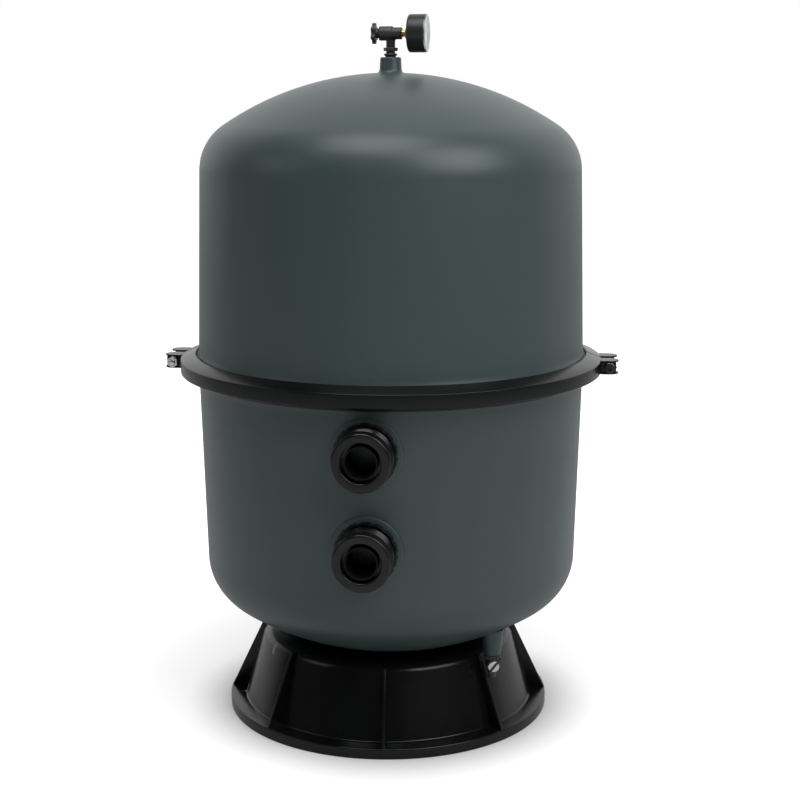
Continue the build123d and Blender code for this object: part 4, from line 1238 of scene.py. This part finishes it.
    def _collars(self) -> None:
        """Bevelled washer and lock nut round the tee's stem."""
        upright = Seat((0, 0, 0), (0, 0, 1), (1, 0, 0))
        low, high = (corner.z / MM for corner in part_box("tee_washer"))
        mid = (low + high) / 2
        cone = rounded([(5.75, low, 0), (7.2, low, 0.2), (8.6, mid - 0.3, 0.3), (8.6, mid + 0.3, 0.3),
                        (7.2, high, 0.2), (5.75, high, 0)])
        washer = Bench.lathe("washer", cone, upright, 48)
        Bench.seat_in(washer, SATIN_BLACK, "tank", "black_satin", "tee_washer")
        low, high = (corner.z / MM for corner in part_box("tee_lock_nut"))
        width, bore = self.lock_nut
        nut = Bench.prism("lock_nut", polygon(width / math.sqrt(3)), upright, low, high - low, 0.7)
        Bench.bore(nut, upright, bore, low - 1, high + 1, 48)
        Bench.seat_in(nut, SATIN_BLACK, "tank", "black_satin", "tee_lock_nut")

    def _knob(self) -> None:
        """Lobed bleed knob with a dished front, a neck and a grooved spindle."""
        base = self.knob_radius - self.knob_lobe
        reach = math.asin(self.knob_lobe / base)
        half = math.pi / self.knob_lobes
        outline: Outline = []
        for step in range(96):
            turn = 2 * math.pi * step / 96
            off = (turn + half) % (2 * half) - half
            radius = base
            if abs(off) < reach * 0.98:
                radius = base * math.cos(off) + math.sqrt(self.knob_lobe**2 - (base * math.sin(off)) ** 2)
            outline.append((radius * math.cos(turn), radius * math.sin(turn)))
        front = -self.knob_back - self.knob_thickness
        knob = Bench.prism("knob", outline, self.seat, front, self.knob_thickness, 0.9, 40.0)
        start, floor = front - 0.1, front + 1.2
        dish = rounded([(0, start, 0), (7.6, start, 0), (6.2, floor, 0.6), (0, floor, 0)])
        Bench.cut(knob, Bench.lathe("dish", dish, self.seat, 48, ring=False))
        back = -self.knob_back - 0.5
        spindle = [(0, back), (6.0, back), (6.0, -15.6), (5.5, -15.0), (3.95, -15.0), (3.95, -11.2),
                   (2.95, -11.2), (2.95, -9.0), (3.95, -9.0), (3.95, -4.6), (3.4, -4.0), (0, -4.0)]
        shaft = Bench.lathe("knob_shaft", spindle, self.seat, 48, ring=False)
        Bench.seat_in(Bench.join([knob, shaft]), SATIN_BLACK, "bleed", "black_satin", "bleed_screw")


@dataclass
class Studio:
    """Camera, soft lamps, pale world and floor."""

    distance: float = 2.031
    height: float = 0.8248
    turn: float = math.radians(6.85)
    aim_offset: float = math.radians(0.332)
    pitch: float = math.radians(11.51)
    lens: float = 70.75
    floor_half: float = 14.0
    room_back: float = 1.0
    room_front: float = 0.07
    floor_tone: float = 0.6
    # Near lift ramp: start and end radius in metres and its rise; it stays low close to the object, so the
    # floor there is darker as painted shade round the foot.
    floor_shade_near: tuple[float, float, float] = (0.17, 0.29, 0.55)
    floor_far: tuple[float, float, float] = (0.25, 0.9, 0.5)
    floor_gloss: float = 0.15

    def build(self) -> None:
        """Make the camera, the lamps, the world and the floor."""
        self._camera()
        self._world()
        self._floor()
        self._lamp("overhead_box", (-0.2, -0.9, 3.1), (0.0, 0.0, 0.6), 1.7, 42.0)
        self._lamp("right_box", (1.54, -1.29, 2.04), (0.0, 0.0, 0.65), 1.7, 39.0)
        self._lamp("left_box", (-2.3, -1.2, 1.6), (0.0, 0.0, 0.5), 1.2, 4.0)
        log.info("studio ready")

    def _camera(self) -> None:
        """Place the camera at the photograph's viewing angle."""
        camera = bpy.data.cameras.new("camera")
        camera.lens = self.lens
        camera.clip_end = 60.0
        seat = bpy.data.objects.new("camera", camera)
        right, back = self.distance * math.sin(self.turn), self.distance * math.cos(self.turn)
        seat.location = (right, -back, self.height)
        seat.rotation_euler = (math.pi / 2 - self.pitch, 0.0, self.turn - self.aim_offset)
        bpy.context.scene.collection.objects.link(seat)
        bpy.context.scene.camera = seat

    def _world(self) -> None:
        """White where the camera looks, and a room that is dimmer on the camera's side."""
        world = bpy.data.worlds.new("room")
        bpy.context.scene.world = world
        world.use_nodes = True
        tree = world.node_tree
        back = tree.nodes["Background"]
        place = tree.nodes.new("ShaderNodeTexCoord")
        parts = tree.nodes.new("ShaderNodeSeparateXYZ")
        tree.links.new(place.outputs["Generated"], parts.inputs[0])
        fade = tree.nodes.new("ShaderNodeMapRange")
        fade.interpolation_type = "SMOOTHSTEP"
        fade.inputs["From Min"].default_value = 0.0
        fade.inputs["From Max"].default_value = 0.6
        fade.inputs["To Min"].default_value = self.room_front
        fade.inputs["To Max"].default_value = self.room_back
        tree.links.new(parts.outputs["Y"], fade.inputs["Value"])
        path = tree.nodes.new("ShaderNodeLightPath")
        seen = tree.nodes.new("ShaderNodeMix")
        seen.data_type = "FLOAT"
        tree.links.new(path.outputs["Is Camera Ray"], seen.inputs["Factor"])
        tree.links.new(fade.outputs[0], seen.inputs[2])
        seen.inputs[3].default_value = 1.0
        tree.links.new(seen.outputs[0], back.inputs["Strength"])
        back.inputs["Color"].default_value = (1, 1, 1, 1)

    def _floor(self) -> None:
        """A pale floor that keeps the object's shadow, with painted shade round the foot where its white lift
        fades out close to the object.
        """
        bpy.ops.object.select_all(action="DESELECT")
        bpy.ops.mesh.primitive_plane_add(size=2 * self.floor_half, location=(0, 0, 0))
        floor = bpy.context.active_object
        floor.name = "floor"
        material = bpy.data.materials.new("pale_floor")
        material.use_nodes = True
        tree = material.node_tree
        shader = tree.nodes["Principled BSDF"]
        shader.inputs["Base Color"].default_value = (self.floor_tone, self.floor_tone, self.floor_tone, 1)
        shader.inputs["Roughness"].default_value = 0.9
        shader.inputs["Specular IOR Level"].default_value = 0.1
        place = tree.nodes.new("ShaderNodeTexCoord")
        reach = tree.nodes.new("ShaderNodeVectorMath")
        reach.operation = "LENGTH"
        tree.links.new(place.outputs["Object"], reach.inputs[0])
        path = tree.nodes.new("ShaderNodeLightPath")
        camera, through = path.outputs["Is Camera Ray"], path.outputs["Is Transmission Ray"]
        clear = self._combine(tree, "MAXIMUM", camera, through)
        share = tree.nodes.new("ShaderNodeValue")
        share.outputs[0].default_value = self.floor_gloss
        gloss = self._combine(tree, "MULTIPLY", path.outputs["Is Glossy Ray"], share.outputs[0])
        lift = self._combine(tree, "MAXIMUM", clear, gloss)
        # The near ramp paints shade round the foot by leaving the floor unlifted close to the object, on top
        # of the real shadow; the far ramp whitens the distant floor.
        rises = []
        for start, end, rise in (self.floor_shade_near, self.floor_far):
            spread = tree.nodes.new("ShaderNodeMapRange")
            spread.interpolation_type = "SMOOTHSTEP"
            spread.inputs["From Min"].default_value = start
            spread.inputs["From Max"].default_value = end
            spread.inputs["To Max"].default_value = rise
            tree.links.new(reach.outputs["Value"], spread.inputs["Value"])
            rises.append(spread.outputs[0])
        strength = self._combine(tree, "MULTIPLY", lift, self._combine(tree, "ADD", *rises))
        shader.inputs["Emission Color"].default_value = (1, 1, 1, 1)
        tree.links.new(strength, shader.inputs["Emission Strength"])
        floor.data.materials.append(material)

    @staticmethod
    def _combine(tree: Tree, operation: str, first: Socket,
                 second: Socket) -> Socket:
        """Combine two values with a math node."""
        node = tree.nodes.new("ShaderNodeMath")
        node.operation = operation
        tree.links.new(first, node.inputs[0])
        tree.links.new(second, node.inputs[1])
        return node.outputs[0]

    @staticmethod
    def _lamp(name: str, place: Point, target: Point, size: float, power: float) -> None:
        """Add a square soft box that faces a point."""
        lamp = bpy.data.lights.new(name, "AREA")
        lamp.size = size
        lamp.energy = power
        seat = bpy.data.objects.new(name, lamp)
        seat.location = place
        seat.rotation_euler = (Vector(target) - Vector(place)).to_track_quat("-Z", "Y").to_euler()
        bpy.context.scene.collection.objects.link(seat)


def main() -> None:
    """Load the frame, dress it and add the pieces."""
    logging.basicConfig(level=logging.INFO, format="%(message)s")
    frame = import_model()
    bpy.context.scene.view_settings.view_transform = "Standard"
    Studio().build()
    dress_nodes(frame["nodes"])
    for assembly in (TankShells(), ClampBand(), Port("inlet"), Port("outlet"), BaseSkirt(), Drain(),
                     GaugeGroup()):
        assembly.build()


if __name__ == "__main__":
    main()
